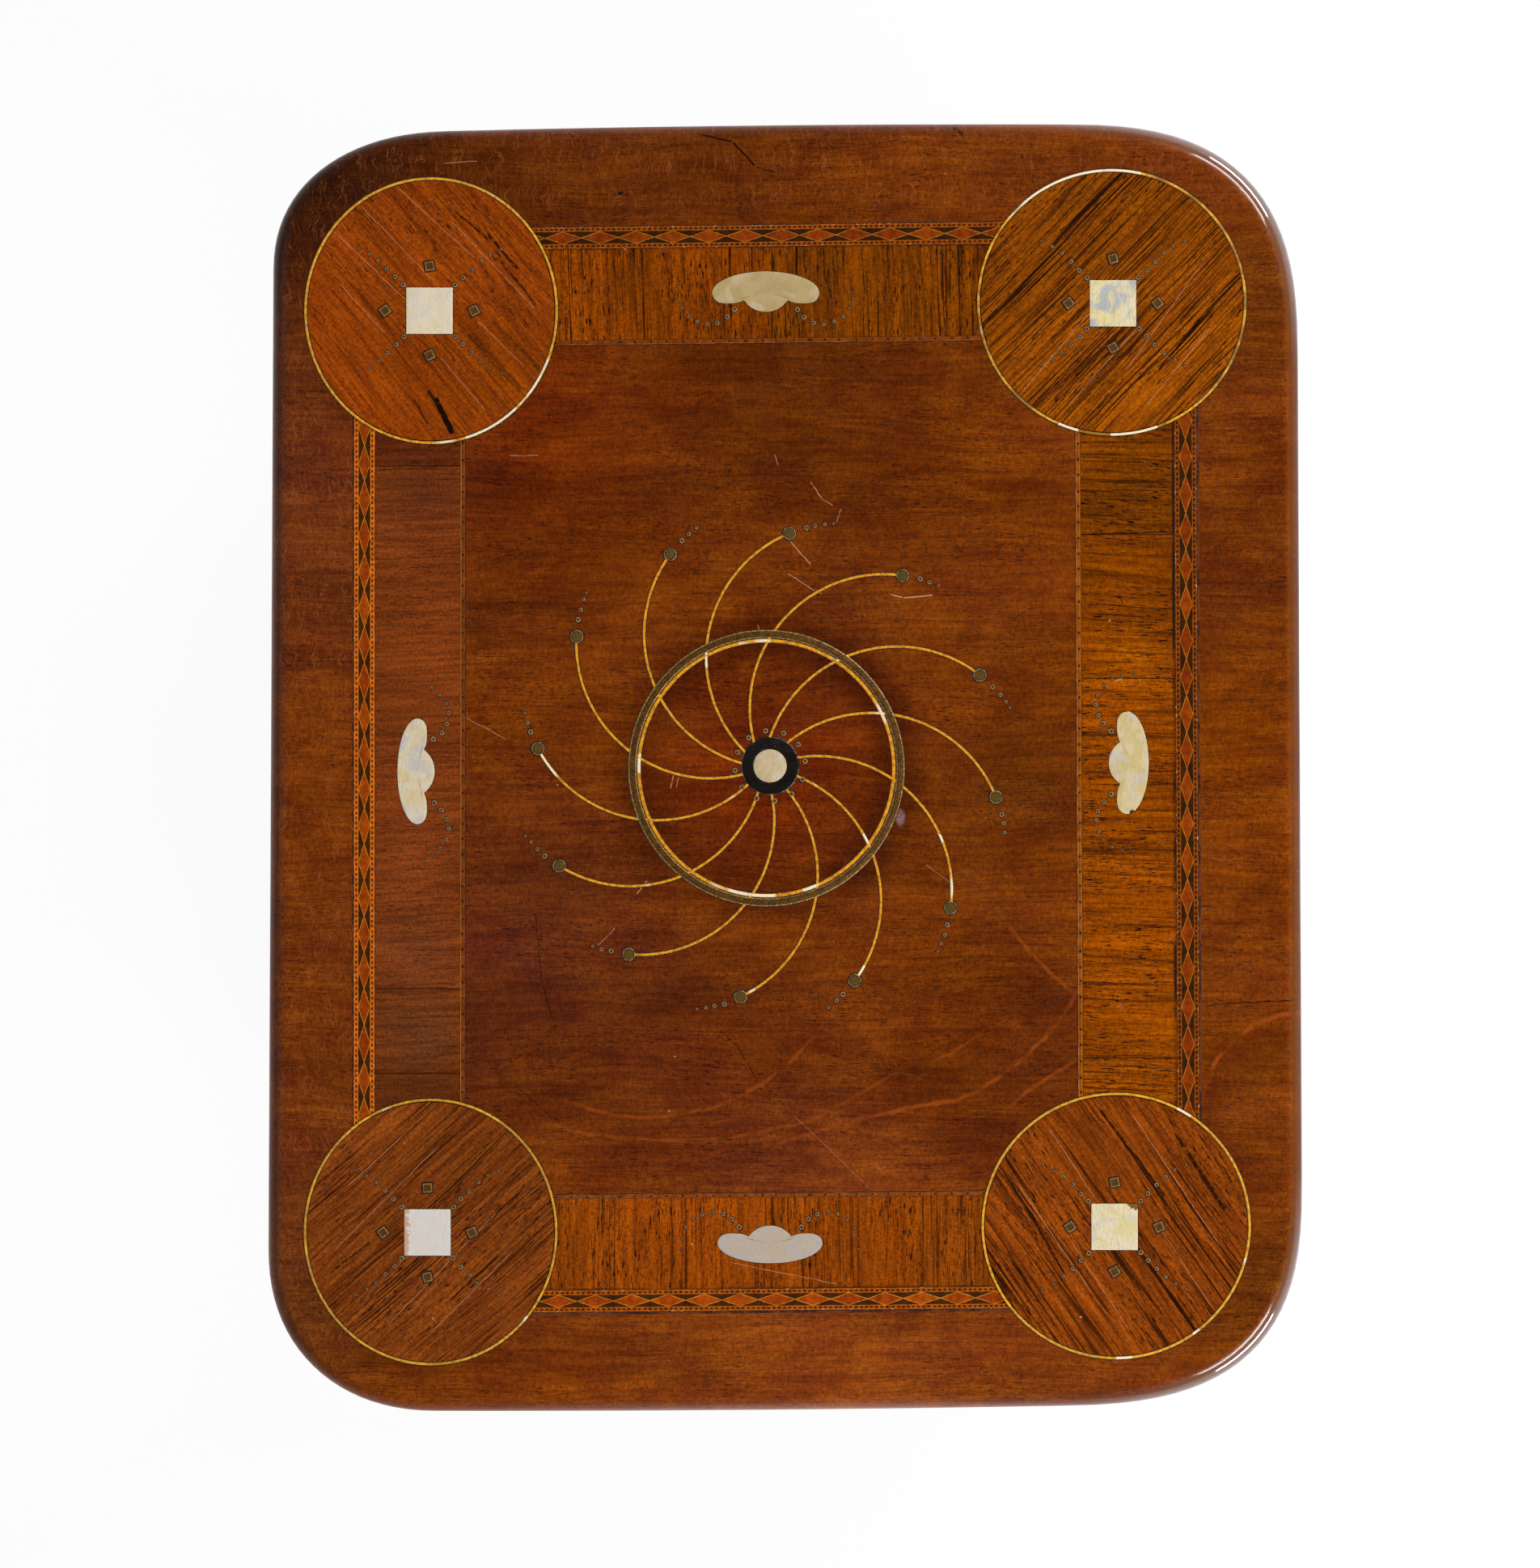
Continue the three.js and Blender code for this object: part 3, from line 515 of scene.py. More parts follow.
# (middle, reach, tint, amount): soft patches of tone, warmer and redder on the left, browner at the back right, dark
# at the back left and lighter at the front
topTonePatches = [
    ((-218, 272), 150, (0.12, 0.14, 0.9), 0.97), ((-224, 120), 130, (0.86, 0.88, 4), 0.8),
    ((-110, 150), 110, (0.88, 0.62, 0.5), 0.9), ((10, 150), 110, (0.68, 0.66, 0.6), 0.9),
    ((-120, -80), 110, (0.66, 0.62, 3.2), 0.9), ((110, -140), 100, (0.74, 0.66, 0.8), 0.9),
    ((-30, 262), 130, (0.63, 0.64, 0.6), 0.9), ((20, -262), 170, (1.55, 1.65, 3.4), 0.9),
    ((90, 110), 80, (1.05, 1.05, 0.8), 0.8), ((210, 0), 110, (1, 0.98, 0.2), 0.9),
    ((-224, -200), 110, (1, 1.1, 4), 0.7), ((-20, -150), 100, (0.66, 0.61, 1.5), 0.85),
    ((105, 0), 60, (0.6, 0.63, 0.6), 0.9), ((-8, 0), 75, (0.86, 0.5, 0.75), 1),
    ((215, -150), 42, (1.12, 1.14, 1), 0.7), ((206, 210), 55, (0.7, 0.8, 0.8), 0.9),
    ((-204, -236), 50, (0.74, 0.92, 1), 0.9), ((206, -230), 50, (1.12, 1.4, 1), 0.9),
]


def makeTopWood():
    material = newMaterial("top wood", specular=0.1, coatRoughness=0.06, coatIor=1.9)
    place = placeOf(material)
    grain = useGroup(woodGrain, {"Place": place, "Seed": 11, "Light": tone(*board["light"]),
                                 "Dark": tone(*board["dark"]), "Streak": tone(*board["streak"]), "Streak Amount": 0.4,
                                 "Pore": tone(*board["pore"]), "Pore Amount": 0.8, "Bend": 16, "Blot": 0.5})
    x, y, z = split(place)
    # uneven polish: irregular patches between dull dark red and warm orange
    mottle = noise(place * (0.03, 0.045, 0), 6, 0.62, 0.6)
    mottle = mix(ramp(mottle, 0.36, 0.64), (0.82, 0.74, 0.95), (1.15, 1.22, 1))
    colour = tinted(grain["Color"], mottle)
    colour = stain(place, colour, topTonePatches)
    # soft light lines of the yearly rings at the front right
    flat, rings = flatPlace(place, 2.5), 0
    for middle, radius, start, end, width, strength, side in yearRings:
        mask = useGroup(arcMark, {"Place": flat, "Middle": (*middle, 0), "Radius": radius, "Start": start, "End": end,
                                        "Width": width, "Side": side})["Mask"]
        rings = most(mask * strength, rings)
    broken = ramp(noise(place * 0.12, 3, 0.6), 0.36, 0.6, 0.15, 1)
    colour = mix(rings * broken, colour, tone(172, 80, 20))
    # polish worn into a dark halo round the brass ring
    gap = gapTo(inPlan(place), (-8.28, 0, 0))
    halo = ramp(gap, 40, 54) * ramp(gap, 60.5, 76, 1, 0)
    side = ramp(x + y * 0.6, -60, 60, 0.55, 1)
    colour = mix(halo * side, colour, tinted(colour, (0.45, 0.38, 0.5)))
    # fine pale scour marks across the grain, on the left border and along the back
    scour = noise(flatPlace(place, 9) * (1.5, 0.07, 0), 2, 0.6)
    where = most(ramp(x, -195, -175, 1, 0), ramp(y, 235, 250))
    scour = ramp(scour, 0.52, 0.7) * (where * 0.3)
    colour = mix(scour, colour, tone(168, 92, 46))
    pale = drawMarks(place, scratches["pale"])
    specks = useGroup(flecks, {"Place": place, "Spacing": 17, "Size": 0.035, "Share": 0.2})["Mask"]
    pale = most(pale, specks * 0.55)
    dark = drawMarks(place, scratches["dark"])
    colour = mix(pale, colour, tone(206, 146, 112))
    colour = mix(dark, colour, tone(24, 9, 6))
    # a grey spot of wax by the ring
    wax = gapTo(place * (1, 0.6, 0), (50, -12.9, 0))
    crumbs = ramp(noise(place * 1.1, 3, 0.7), 0.4, 0.6, 0.3, 0.85)
    wax = ramp(wax, 1.2, 2.8, 1, 0) * crumbs
    colour = mix(wax, colour, tone(136, 112, 116))
    # the edge: grime and painted shade down the side and on the underside; just below the face a lighter band, partly
    # rubbed wear and partly painted sheen; both are stronger on the right
    grimeAndShade = most(ramp(z, 690.5, 697.2, 0.8, 0), ramp(z, 680, 686, 0.85, 0.6))
    side = ramp(x, 80, 210, 0.2, 1)
    grimeAndShade = grimeAndShade * (ramp(z, 698.5, 699.5, 1, 0) * side)
    colour = mix(grimeAndShade, colour, tone(44, 15, 8))
    # rub is partly rubbed wear and partly painted sheen, more on the right
    rub = ramp(z, 695, 697.5) * ramp(z, 699, 699.85, 1, 0)
    rub = rub * ramp(x, 100, 200, 0.04, 0.26)
    colour = mix(rub, colour, tone(132, 76, 22))
    smear = noise(place * 0.02, 3)
    # the hand polish is thickest on the rolled edge at the right corners, then at the front, then at the back
    away = abs(y)
    polish = ramp(x, 100, 180) * ramp(away, 170, 225, 0.04, 1)
    ends = ramp(away, 255, 268) * ramp(y, -10, 10, 0.32, 0.05)
    polish = most(polish, ends * ramp(x, -180, 0))
    roll = ramp(z, 692, 693.5) * ramp(z, 698.2, 699.7, 1, 0)
    return finish(material, colour, grain["Height"], 0.035, roughness=ramp(smear, 0.3, 0.7, 0.26, 0.38),
                  coatWeight=polish * roll)


topWood = makeTopWood()
makePiece("top_board_fine", [skin(stack(boardOutline, boardProfile()))], topWood, ["top_board"],
          crease=50)
print("top board made")

# Roundels: place and size of each, with its wood, its edging string and its pearl

roundels = {
    "back_left": {
        "centre": (-154.35, 199.27), "radii": (55.5, 58.3), "pearl": (-155.05, 199.27), "grain": -50, "seed": 3,
        "light": (158, 70, 8), "dark": (124, 50, 6), "streakAmount": 0.45, "poreAmount": 0.9, "streakWidth": 1,
        "knots": [((1.5, -38), (9.6, -54), 2.2, 2), ((-1.5, -34.5), (4, -44), 1.3, 0.9),
                  ((-8, -38), (-1, -50), 0.8, 0.8), ((10, 44), (26, 30), 1, 0.9), ((24, 34), (38, 18), 1.2, 0.9),
                  ((30, 22), (46, 2), 1, 0.8), ((16, -10), (40, -36), 3, 0.45), ((26, -4), (48, -26), 2, 0.45)],
        "dull": 0.15, "stains": [((-124, 176), 44, (0.8, 0.86, 0.7), 0.9)],
    },
    "back_right": {
        "centre": (142.25, 202.89), "radii": (58.9, 58.3), "pearl": (142.75, 202.49), "grain": 46, "seed": 21,
        "light": (156, 80, 4), "dark": (124, 58, 4), "streakAmount": 1, "poreAmount": 1.1, "streakWidth": 0.85,
        "streakLevel": 0.475, "knots": [((-2, -8), (16, 12), 0.8, 0.9), ((20, -30), (40, -6), 1.1, 0.9)],
        "dull": 0.75,
    },
    "front_left": {
        "centre": (-154.57, -202.05), "radii": (55.5, 58.3), "pearl": (-155.97, -202.25), "grain": 42, "seed": 47,
        "light": (144, 72, 20), "dark": (106, 47, 13), "streakAmount": 0.95, "poreAmount": 1.1, "streakWidth": 0.8,
        "streakLevel": 0.515, "knots": [((-44, -18), (-26, -4), 0.9, 0.9), ((8, -30), (30, -10), 0.9, 0.9)],
        "dull": 0.4,
    },
    "front_right": {
        "centre": (144.14, -199.41), "radii": (58.9, 58.3), "pearl": (143.44, -199.81), "grain": -55, "seed": 83,
        "light": (153, 72, 11), "dark": (112, 48, 7), "streakAmount": 1, "poreAmount": 1.1, "streakWidth": 0.9,
        "streakLevel": 0.48,
        "knots": [((-8, 52), (22, 12), 1.2, 0.9), ((26, 40), (48, 6), 1.6, 0.9), ((-40, 10), (-22, -22), 1.2, 0.9)],
        "dull": 0.15,
    },
}


def outward(place, side):
    # how far out from the table's middle a place lies, measured across a belt with its lean taken away
    belt = belts[side]
    middle, half = sum(belt["span"]) / 2, (belt["span"][1] - belt["span"][0]) / 2
    lean = (place[1 - belt["axis"]] - middle) * (belt["lean"] / half)
    return (place[belt["axis"]] - lean) * float(belt["out"])


def makeRosewood(name, wood, marks=(), darkMarks=(), joints=(), side=None):
    # rosewood veneer with its grain at an angle; joints are (place along, tint after it) where sheets meet
    material = newMaterial(name, specular=0.05)
    place = placeOf(material)
    grain = useGroup(woodGrain, {"Place": turned(place, wood["grain"]), "Seed": wood["seed"],
                                 "Light": tone(*wood["light"]), "Dark": tone(*wood["dark"]),
                                 "Streak": tone(40, 18, 4), "Streak Amount": wood["streakAmount"],
                                 "Streak Width": wood.get("streakWidth", 1),
                                 "Streak Level": wood.get("streakLevel", 0.53), "Pore": tone(30, 12, 3),
                                 "Pore Amount": wood["poreAmount"], "Bend": 8})
    colour = grain["Color"]
    seam = 0
    for at, tint in joints:
        along = split(place)[1 - belts[side]["axis"]] + noise(place * 0.1, 1) * 0.8
        after = calc("GREATER_THAN", along, at + 0.4)
        colour = mix(after, colour, tinted(colour, tint))
        line = ramp(abs(along - (at + 0.4)), 0.12, 0.4, 1, 0)
        seam = most(line, seam)
    colour = stain(place, colour, wood.get("stains", ()))
    if side:
        colour = mix(seam * 0.8, colour, tone(34, 14, 6))
        width, depth = belts[side]["gap"]
        reach = outward(split(place), side) + noise(place * 0.12, 3, 0.6)
        joint = belts[side]["edges"][1] - width
        gap = ramp(reach, joint + 0.2, joint + 0.8)
        patchy = ramp(noise(place * 0.05, 2), 0.36, 0.58, 0.4 * depth, depth)
        colour = mix(gap * patchy, colour, tone(40, 20, 9))
    pale = useGroup(flecks, {"Place": place, "Spacing": 14, "Size": 0.05, "Share": 0.22})["Mask"]
    if marks:
        pale = most(pale, drawMarks(place, marks, 0.8))
    colour = mix(pale * 0.7, colour, tone(200, 138, 100))
    if darkMarks:
        colour = mix(drawMarks(place, darkMarks, 1.5), colour, tone(24, 11, 4))
    return finish(material, colour, grain["Height"], 0.04, roughness=ramp(grain["Tone"], 0, 1, 0.38, 0.28))


def dress(name, material):
    nodes[name].material_slots[0].material = material


# pale cracks along a roundel's grain, as (start, end) from its middle
roundelCracks = {
    "back_left": [
        ((-44, 36), (-8, 2)), ((-31, 46), (2, 12)), ((-15, 54), (20, 22)), ((8, 40), (46, 0)), ((20, -4), (40, -24)),
        ((-40, 12), (-20, -10)), ((4, -20), (24, -44)),
    ],
    "back_right": [((-40, -40), (-4, 2)), ((-20, -46), (12, -10)), ((6, -30), (40, 18)), ((14, -46), (44, -10))],
    "front_left": [((-44, -10), (4, 38)), ((-20, -42), (30, 10)), ((0, -44), (36, -8)), ((-36, 20), (-12, 42))],
    "front_right": [
        ((-30, 44), (-8, 10)), ((-44, 20), (-10, -30)), ((6, 50), (46, -10)), ((16, 4), (42, -36)),
        ((-20, -6), (6, -46)),
    ],
}
for name, roundel in roundels.items():
    middle = np.array(roundel["centre"])
    cracks = [(tuple(middle + a), tuple(middle + b), 0.32, 0.75) for a, b in roundelCracks[name]]
    knots = [(tuple(middle + a), tuple(middle + b), width, strength) for a, b, width, strength in roundel["knots"]]
    dress("roundel_" + name, makeRosewood("roundel rosewood " + name.replace("_", " "), roundel, cracks, knots))
print("roundels dressed")

# Crossbands between the roundels: veneer sheets laid side by side, grain across the band

belts = {
    # edges run half way along from the outside in; lean is how far the belt has moved across by the end of its span;
    # shift is where a diamond's middle lies; gap is (width, depth) of the dark joint inside the banding, and glue is
    # its width outside; line is the inner line's (core colour, gold share, gold's place across, pale share)
    "left": {
        "axis": 0, "out": -1, "edges": (188, 179, 141.7, 139.6), "span": (-202.05, 199.27), "lean": 0.11,
        "period": 15.79, "shift": 6.5, "shade": 0.97, "row": 1.42, "gap": (0.4, 0.3), "glue": 0.8,
        "line": ((106, 52, 20), 0.8, 0.8, 0.1),
    },
    "right": {
        "axis": 0, "out": 1, "edges": (179.7, 170.2, 129.3, 127), "span": (-199.41, 202.89), "lean": -0.95,
        "period": 15.95, "shift": 7.75, "shade": 0.73, "row": 0.66, "gap": (1.3, 0.95), "glue": 1.1,
        "line": ((132, 67, 8), 0.25, 0.45, 0.6),
    },
    "back": {
        "axis": 1, "out": 1, "edges": (236.7, 227.3, 187.4, 185.3), "span": (-154.35, 142.25), "lean": 1.81,
        "period": 15.84, "shift": -1.75, "shade": 0.69, "row": 0.9, "gap": (0.8, 0.5), "glue": 0.4,
        "line": ((116, 53, 6), 0.05, 0.45, 0.3),
    },
    "front": {
        "axis": 1, "out": -1, "edges": (236.15, 226.75, 186.95, 185.05), "span": (-154.57, 144.14), "lean": 1.32,
        "period": 15.82, "shift": -3.85, "shade": 1.04, "row": 0.76, "gap": (0.9, 0.5), "glue": 1.2,
        "line": ((122, 61, 18), 0.05, 0.45, 0.1),
    },
}
crossbands = {
    "left": {
        "grain": 2, "seed": 5, "light": (114, 55, 19), "dark": (86, 39, 13), "streakAmount": 0.3, "poreAmount": 0.6,
        "joints": [(-133, (1.25, 1.2, 1.1)), (-96, (1.1, 1.05, 1)), (131.6, (0.66, 0.6, 0.7))],
        "stains": [((-160, 118), 26, (0.78, 0.84, 1.5), 0.9), ((-160, 52), 36, (1.42, 1.4, 1.2), 0.9),
                   ((-160, -42), 32, (1.18, 1.2, 1.5), 0.9), ((-160, -80), 30, (0.8, 0.96, 1.6), 0.9),
                   ((-160, -116), 26, (0.92, 1.2, 2.2), 0.9)],
    },
    "right": {
        "grain": -2, "seed": 29, "light": (164, 80, 1), "dark": (120, 54, 1), "streakAmount": 0.72,
        "poreAmount": 1.25,
        "joints": [(-126.3, (0.92, 0.9, 0.9)), (39.1, (0.84, 0.86, 0.8)), (101.8, (0.84, 0.9, 0.9))],
        "stains": [((150, 50), 30, (1.45, 1.55, 0.6), 0.9), ((150, -112), 30, (1.06, 1.1, 0.6), 0.9)],
    },
    "back": {
        "grain": 92, "seed": 61, "light": (152, 70, 2), "dark": (108, 47, 2), "streakAmount": 1, "poreAmount": 1.2,
        "joints": [(-6, (0.82, 0.94, 1)), (70.1, (0.86, 0.86, 0.6))],
    },
    "front": {
        "grain": 90, "seed": 97, "light": (156, 73, 7), "dark": (118, 53, 5), "streakAmount": 0.8, "poreAmount": 1.1,
        "joints": [(-74.4, (1.14, 1.08, 1)), (-6, (0.87, 0.9, 0.9)), (60, (0.92, 0.98, 1.2))],
    },
}
bandMarks = {"front": [((-25, -215.2), (24.3, -225), 0.35, 0.7)],
             "right": [((145, -100), (148, -107), 0.5, 0.2), ((144, 38), (147, 39.2), 0.8, 0.8)]}
bandCracks = {"left": [((-177.6, 129.6), (-166, 130.8), 0.5, 0.8), ((-166, 130.8), (-143, 129.4), 0.4, 0.7)],
              "right": [((129.7, 101.7), (168.8, 102.9), 0.55, 0.95), ((134.6, 38.7), (168.8, 39.6), 0.4, 0.85),
                        ((161, 44), (168.5, 43), 0.3, 0.5)]}
for side, wood in crossbands.items():
    material = makeRosewood("crossband rosewood " + side, wood, bandMarks.get(side, ()), bandCracks.get(side, ()),
                            wood["joints"], side)
    dress("crossband_" + side, material)
print("crossbands dressed")

# Diamond banding: red diamonds between crossed light lines on black, with a dotted row on either side

banding = {
    "rowShare": 0.215, "dotPitch": 2.25, "dotShare": 0.24, "lineShare": 0.052, "linePitch": 6.9,
    "light": (208, 127, 26), "row": (176, 84, 12), "diamond": (160, 68, 8), "other": (138, 52, 8),
    "black": (64, 33, 10), "dot": (76, 20, 8), "edge": (200, 114, 24), "glue": (44, 20, 9), "crumb": (206, 172, 136),
}


@shaderGroup("diamond banding", {"Along": 0, "Across": 0, "Period": 16, "Seed": 0, "Shade": 1, "Shift": 0, "Row": 1})
def diamondBanding(given):
    # Along is in mm; Across is -1 at one edge of the strip, 0 in its middle and 1 at the other edge.
    # A light line lies where the distance from the middle equals a zigzag |2 fract(along / period) - 1|:
    # inside it is a diamond, outside it black. The outer rows hold dots at a fixed pitch.
    spot = join(given["Along"], given["Across"] * 4.5, given["Seed"])
    wander = noise(spot * 0.12, 2)
    waver = noise(spot * 0.6, 1)
    along = given["Along"] - given["Shift"] + (wander - 0.5) * 1.6
    out = abs(given["Across"]) + (waver - 0.5) * 0.06
    middleShare = 1 - 2 * banding["rowShare"]
    step = along / given["Period"]
    zigzag = abs(fract(step) * 2 - 1)
    away = out / middleShare
    inside = ramp(zigzag - away, -0.03, 0.03)
    line = ramp(abs(zigzag - away), banding["lineShare"] * 0.6, banding["lineShare"] * 1.4, 1, 0)
    each = through("TexWhiteNoise", {"W": calc("ROUND", step)}, "Value", noise_dimensions="1D")
    patchy = ramp(noise(spot * 0.35, 3, 0.65), 0.3, 0.7, 0.66, 1.2)
    patchy = patchy * given["Shade"]
    red = mix(each, tone(*banding["diamond"]), tone(*banding["other"]))
    middle = mix(inside, tone(*banding["black"]), red)
    middle = mix(line * 0.92, middle, tone(*banding["light"]))
    row = (out - middleShare) / (1 - middleShare)
    beat = abs(fract(along / banding["dotPitch"]) - 0.5)
    dotAlong = ramp(beat, banding["dotShare"] * 0.7, banding["dotShare"] * 1.4, 1, 0)
    dotAcross = ramp(abs(row - 0.46), 0.18, 0.28, 1, 0)
    beside = ramp(abs(abs(row - 0.48) - 0.4), 0.03, 0.1, 0.8, 0)
    rows = mix(beside, tone(*banding["row"]), tone(*banding["edge"]))
    rows = mix(dotAlong * dotAcross * 0.92, rows, tone(*banding["dot"]))
    rows = shaded(rows, given["Row"])
    colour = mix(ramp(row, -0.02, 0.04), middle, rows)
    uneven = (waver - 0.5) * 0.1
    border = abs(given["Across"]) + uneven
    rim = ramp(border, 0.95, 0.99)
    colour = mix(rim * 0.7, colour, tone(*banding["glue"]))
    colour = shaded(colour, patchy)
    crumbs = ramp(noise(spot * (0.7, 1.3, 1), 3, 0.6), 0.6, 0.66)
    colour = mix(crumbs * ramp(border, 0.86, 0.94, 0, 0.7), colour, tone(*banding["crumb"]))
    return {"Color": colour, "Height": line - rim}


@shaderGroup("dotted line", {"Along": 0, "Across": 0, "Seed": 0, "Core": tone(140, 72, 9), "Gold": 0.5,
                             "Gold Place": 0.5, "Pale": 0.5})
def dottedLine(given):
    # Along is in mm and Across -1 at the inner edge to 1 at the outer one: an orange core with a dark square at a
    # fixed pitch, a gold line outside it, a broken pale line inside it, and dark glue along both edges
    spot = join(given["Along"], given["Across"], given["Seed"])
    wander = noise(spot * 0.15, 2) - 0.5
    along = given["Along"] + wander * 4
    across = given["Across"] + wander * 0.35
    patch = noise(spot * 0.3, 3, 0.6)
    beat = abs(fract(along / banding["linePitch"]) - 0.5)
    dot = ramp(beat, 0.06, 0.09, 1, 0) * ramp(abs(across), 0.36, 0.5, 1, 0)
    colour = tinted(given["Core"], mix(ramp(patch, 0.35, 0.65), (0.8, 0.8, 0.8), (1.3, 1.3, 1.3)))
    gold = ramp(abs(across - given["Gold Place"]), 0.12, 0.24, 1, 0)
    colour = mix(gold * given["Gold"], colour, tone(204, 126, 30))
    pale = ramp(abs(across + 0.8), 0.06, 0.18, 1, 0)
    pale = pale * given["Pale"] * ramp(patch, 0.45, 0.6, 0.3, 0.8)
    colour = mix(pale, colour, tone(206, 152, 104))
    colour = mix(dot * 0.9, colour, tone(48, 16, 6))
    rim = ramp(abs(across), 0.9, 1)
    colour = mix(rim * 0.9, colour, tone(38, 22, 8))
    return {"Color": colour, "Height": 1 - rim}


def makeBandMaterial(side, group, outer, inner, name):
    belt = belts[side]
    material = newMaterial(name, roughness=0.32, specular=0.1)
    place = split(placeOf(material))
    across = (outward(place, side) - (outer + inner) / 2) * (2 / (outer - inner))
    inputs = {"Along": place[1 - belt["axis"]], "Across": across, "Seed": outer}
    if group is diamondBanding:
        inputs.update({"Period": belt["period"], "Shift": belt["shift"], "Shade": belt["shade"], "Row": belt["row"]})
    else:
        core, gold, goldPlace, pale = belt["line"]
        inputs.update({"Core": tone(*core), "Gold": gold, "Gold Place": goldPlace, "Pale": pale})
    made = useGroup(group, inputs)
    return finish(material, made["Color"], made["Height"], 0.05)


for side, belt in belts.items():
    for kind, group, ends in (("diamond_banding_", diamondBanding, belt["edges"][:2]),
                              ("dotted_line_", dottedLine, belt["edges"][2:])):
        name = kind + side
        dress(name, makeBandMaterial(side, group, *ends, name.replace("_", " ")))
print("bandings dressed")

# Strings of light wood: the roundels' edging, the whirl's twelve arms and the ring inside the brass

strings = {
    "gold": (224, 156, 30), "deep": (180, 112, 22), "cream": (240, 220, 182), "edge": (96, 50, 14),
    "edgingGold": (228, 168, 46), "edgingDeep": (186, 124, 34), "dull": (118, 84, 34),
    "width": 1.24, "ringWidth": 1.6, "edgingInset": 0.75, "crown": 0.09, "depth": 0.8,
}


@shaderGroup("string tone", {"Place": (0, 0, 0), "Across": 0, "Cream": 0.5, "Gold": tone(*strings["gold"]),
                             "Deep": tone(*strings["deep"]), "Dull": 0})
def stringTone(given):
    # Boxwood that has gone golden, rubbed back to cream here and there, darker towards both edges of the string
    slow = noise(given["Place"] * 0.035, 2, 0.5)
    quick = noise(given["Place"] * 0.5, 3, 0.6)
    colour = mix(ramp(quick, 0.36, 0.58), given["Deep"], given["Gold"])
    worn = noise(given["Place"] * 0.06 + (5, 0, 0), 3, 0.6)
    colour = mix(ramp(worn, 0.44, 0.56) * given["Dull"], colour, tone(*strings["dull"]))
    rubbed = ramp(slow + given["Cream"] * 0.2, 0.66, 0.74)
    colour = mix(rubbed, colour, tone(*strings["cream"]))
    dirt = ramp(noise(given["Place"] * 0.9, 2), 0.62, 0.74)
    colour = mix(dirt * 0.5, colour, tone(96, 48, 20))
    side = ramp(abs(given["Across"]), 0.45, 1)
    return {"Color": mix(side * 0.7, colour, tone(*strings["edge"])), "Height": quick}


def makeStringWood(name, cream, rubs=(), spots=(), tones=None):
    # rubs are (from, to, strength) along the string, and spots (x, y, reach) in plan, where it is rubbed pale
    material = newMaterial(name, roughness=0.34, specular=0.25)
    along = alongAndAcross(material)
    across = (along[1] - 0.5) * (1 / 0.3)  # the crown lies between v 0.2 and 0.8
    for start, end, strength in rubs:
        away = abs(along[0] - (start + end) / 2)
        cream = ramp(away, (end - start) * 0.4, (end - start) * 0.55, 1.6 * strength, 0) + cream
    flat = inPlan(placeOf(material))
    for x, y, reach in spots:
        cream = ramp(gapTo(flat, (x, y, 0)), reach * 0.7, reach * 1.1, 1.25, 0) + cream
    made = useGroup(stringTone, {"Place": placeOf(material), "Across": across, "Cream": cream, **(tones or {})})
    return finish(material, made["Color"], made["Height"], 0.05)


def stringSection(half):
    # a crowned strip: z is the face plus the crown times 1 - (across / half)^2, then straight down
    across = np.array([-1, -0.98, -0.6, 0, 0.6, 0.98, 1])
    height = board["height"] + strings["crown"] * (1 - across**2) - 0.02
    height[[0, -1]] = board["height"] - strings["depth"]
    return np.stack([across * half, height], -1)


stringAcross = [0, 0.2, 0.35, 0.5, 0.65, 0.8, 1, 1]
whirlWood = makeStringWood("whirl string", 0, spots=[
    (-104.9, 1.7, 8.5), (-62.6, -53.5, 6), (-96, -45.5, 2.5), (-63.8, -82.9, 3), (33.7, -88.3, 3), (-14.4, -97.2, 2),
    (-33.5, 48, 5), (24.3, 48, 3.5), (34.9, -31.4, 3.5), (66.6, -31.2, 3), (-22.7, -11.9, 2)])
ringStringWood = makeStringWood("ring string", 0, spots=[
    (-13.7, 55.3, 9), (21.8, 49.5, 3), (-14.3, -55.2, 11), (10.6, -51, 4), (-63.5, 2, 5)])
# degrees anticlockwise from +X
edgingRubs = {
    "back_left": [(286, 313, 1), (313, 340, 0.6)],
    "back_right": [(77, 93, 1), (246, 256, 1), (268, 290, 1), (93, 150, 0.5), (336, 348, 0.6)],
    "front_left": [(98, 114, 0.35), (215, 250, 0.45), (309, 321, 0.5), (332, 356, 0.45)],
    "front_right": [(56, 63, 1), (270, 277, 1), (305, 309, 0.9), (328, 347, 0.5)],
}
edgingTones = {"Gold": tone(*strings["edgingGold"]), "Deep": tone(*strings["edgingDeep"])}

for name, roundel in roundels.items():
    radii = [radius - strings["edgingInset"] for radius in roundel["radii"]]
    ring = annulus(roundel["centre"], radii, stringSection(strings["width"] / 2), 180, stringAcross, 360)
    wood = makeStringWood("edging string " + name.replace("_", " "), 0.1, edgingRubs[name],
                          tones={**edgingTones, "Dull": roundel["dull"]})
    makePiece("edging_" + name, [ring], wood, ["roundel_edging_" + name], crease=60)

whirl = {
    "centre": (-8.28, 0), "hub": (-6.68, 1), "arms": (-9.58, 0.3), "radius": 58.5, "lineRadius": 55.55, "first": 84,
    "hubRadius": 12.7, "pearlRadius": 7.2, "studRadius": 2.85, "pinCircle": 15.4, "armSteps": 60,
    # each arm's turn as a share of 30 degrees, and its reach as a share of an even arm's
    "tips": [(-0.011, 1.013), (0, 1.02), (-0.03, 1.012), (-0.042, 1.008), (-0.027, 1.006), (-0.027, 0.997),
             (0.01, 0.991), (0.007, 0.99), (0.057, 0.975), (0.04, 0.973), (0.033, 0.981), (-0.013, 1)],
}
whirl["count"] = len(whirl["tips"])


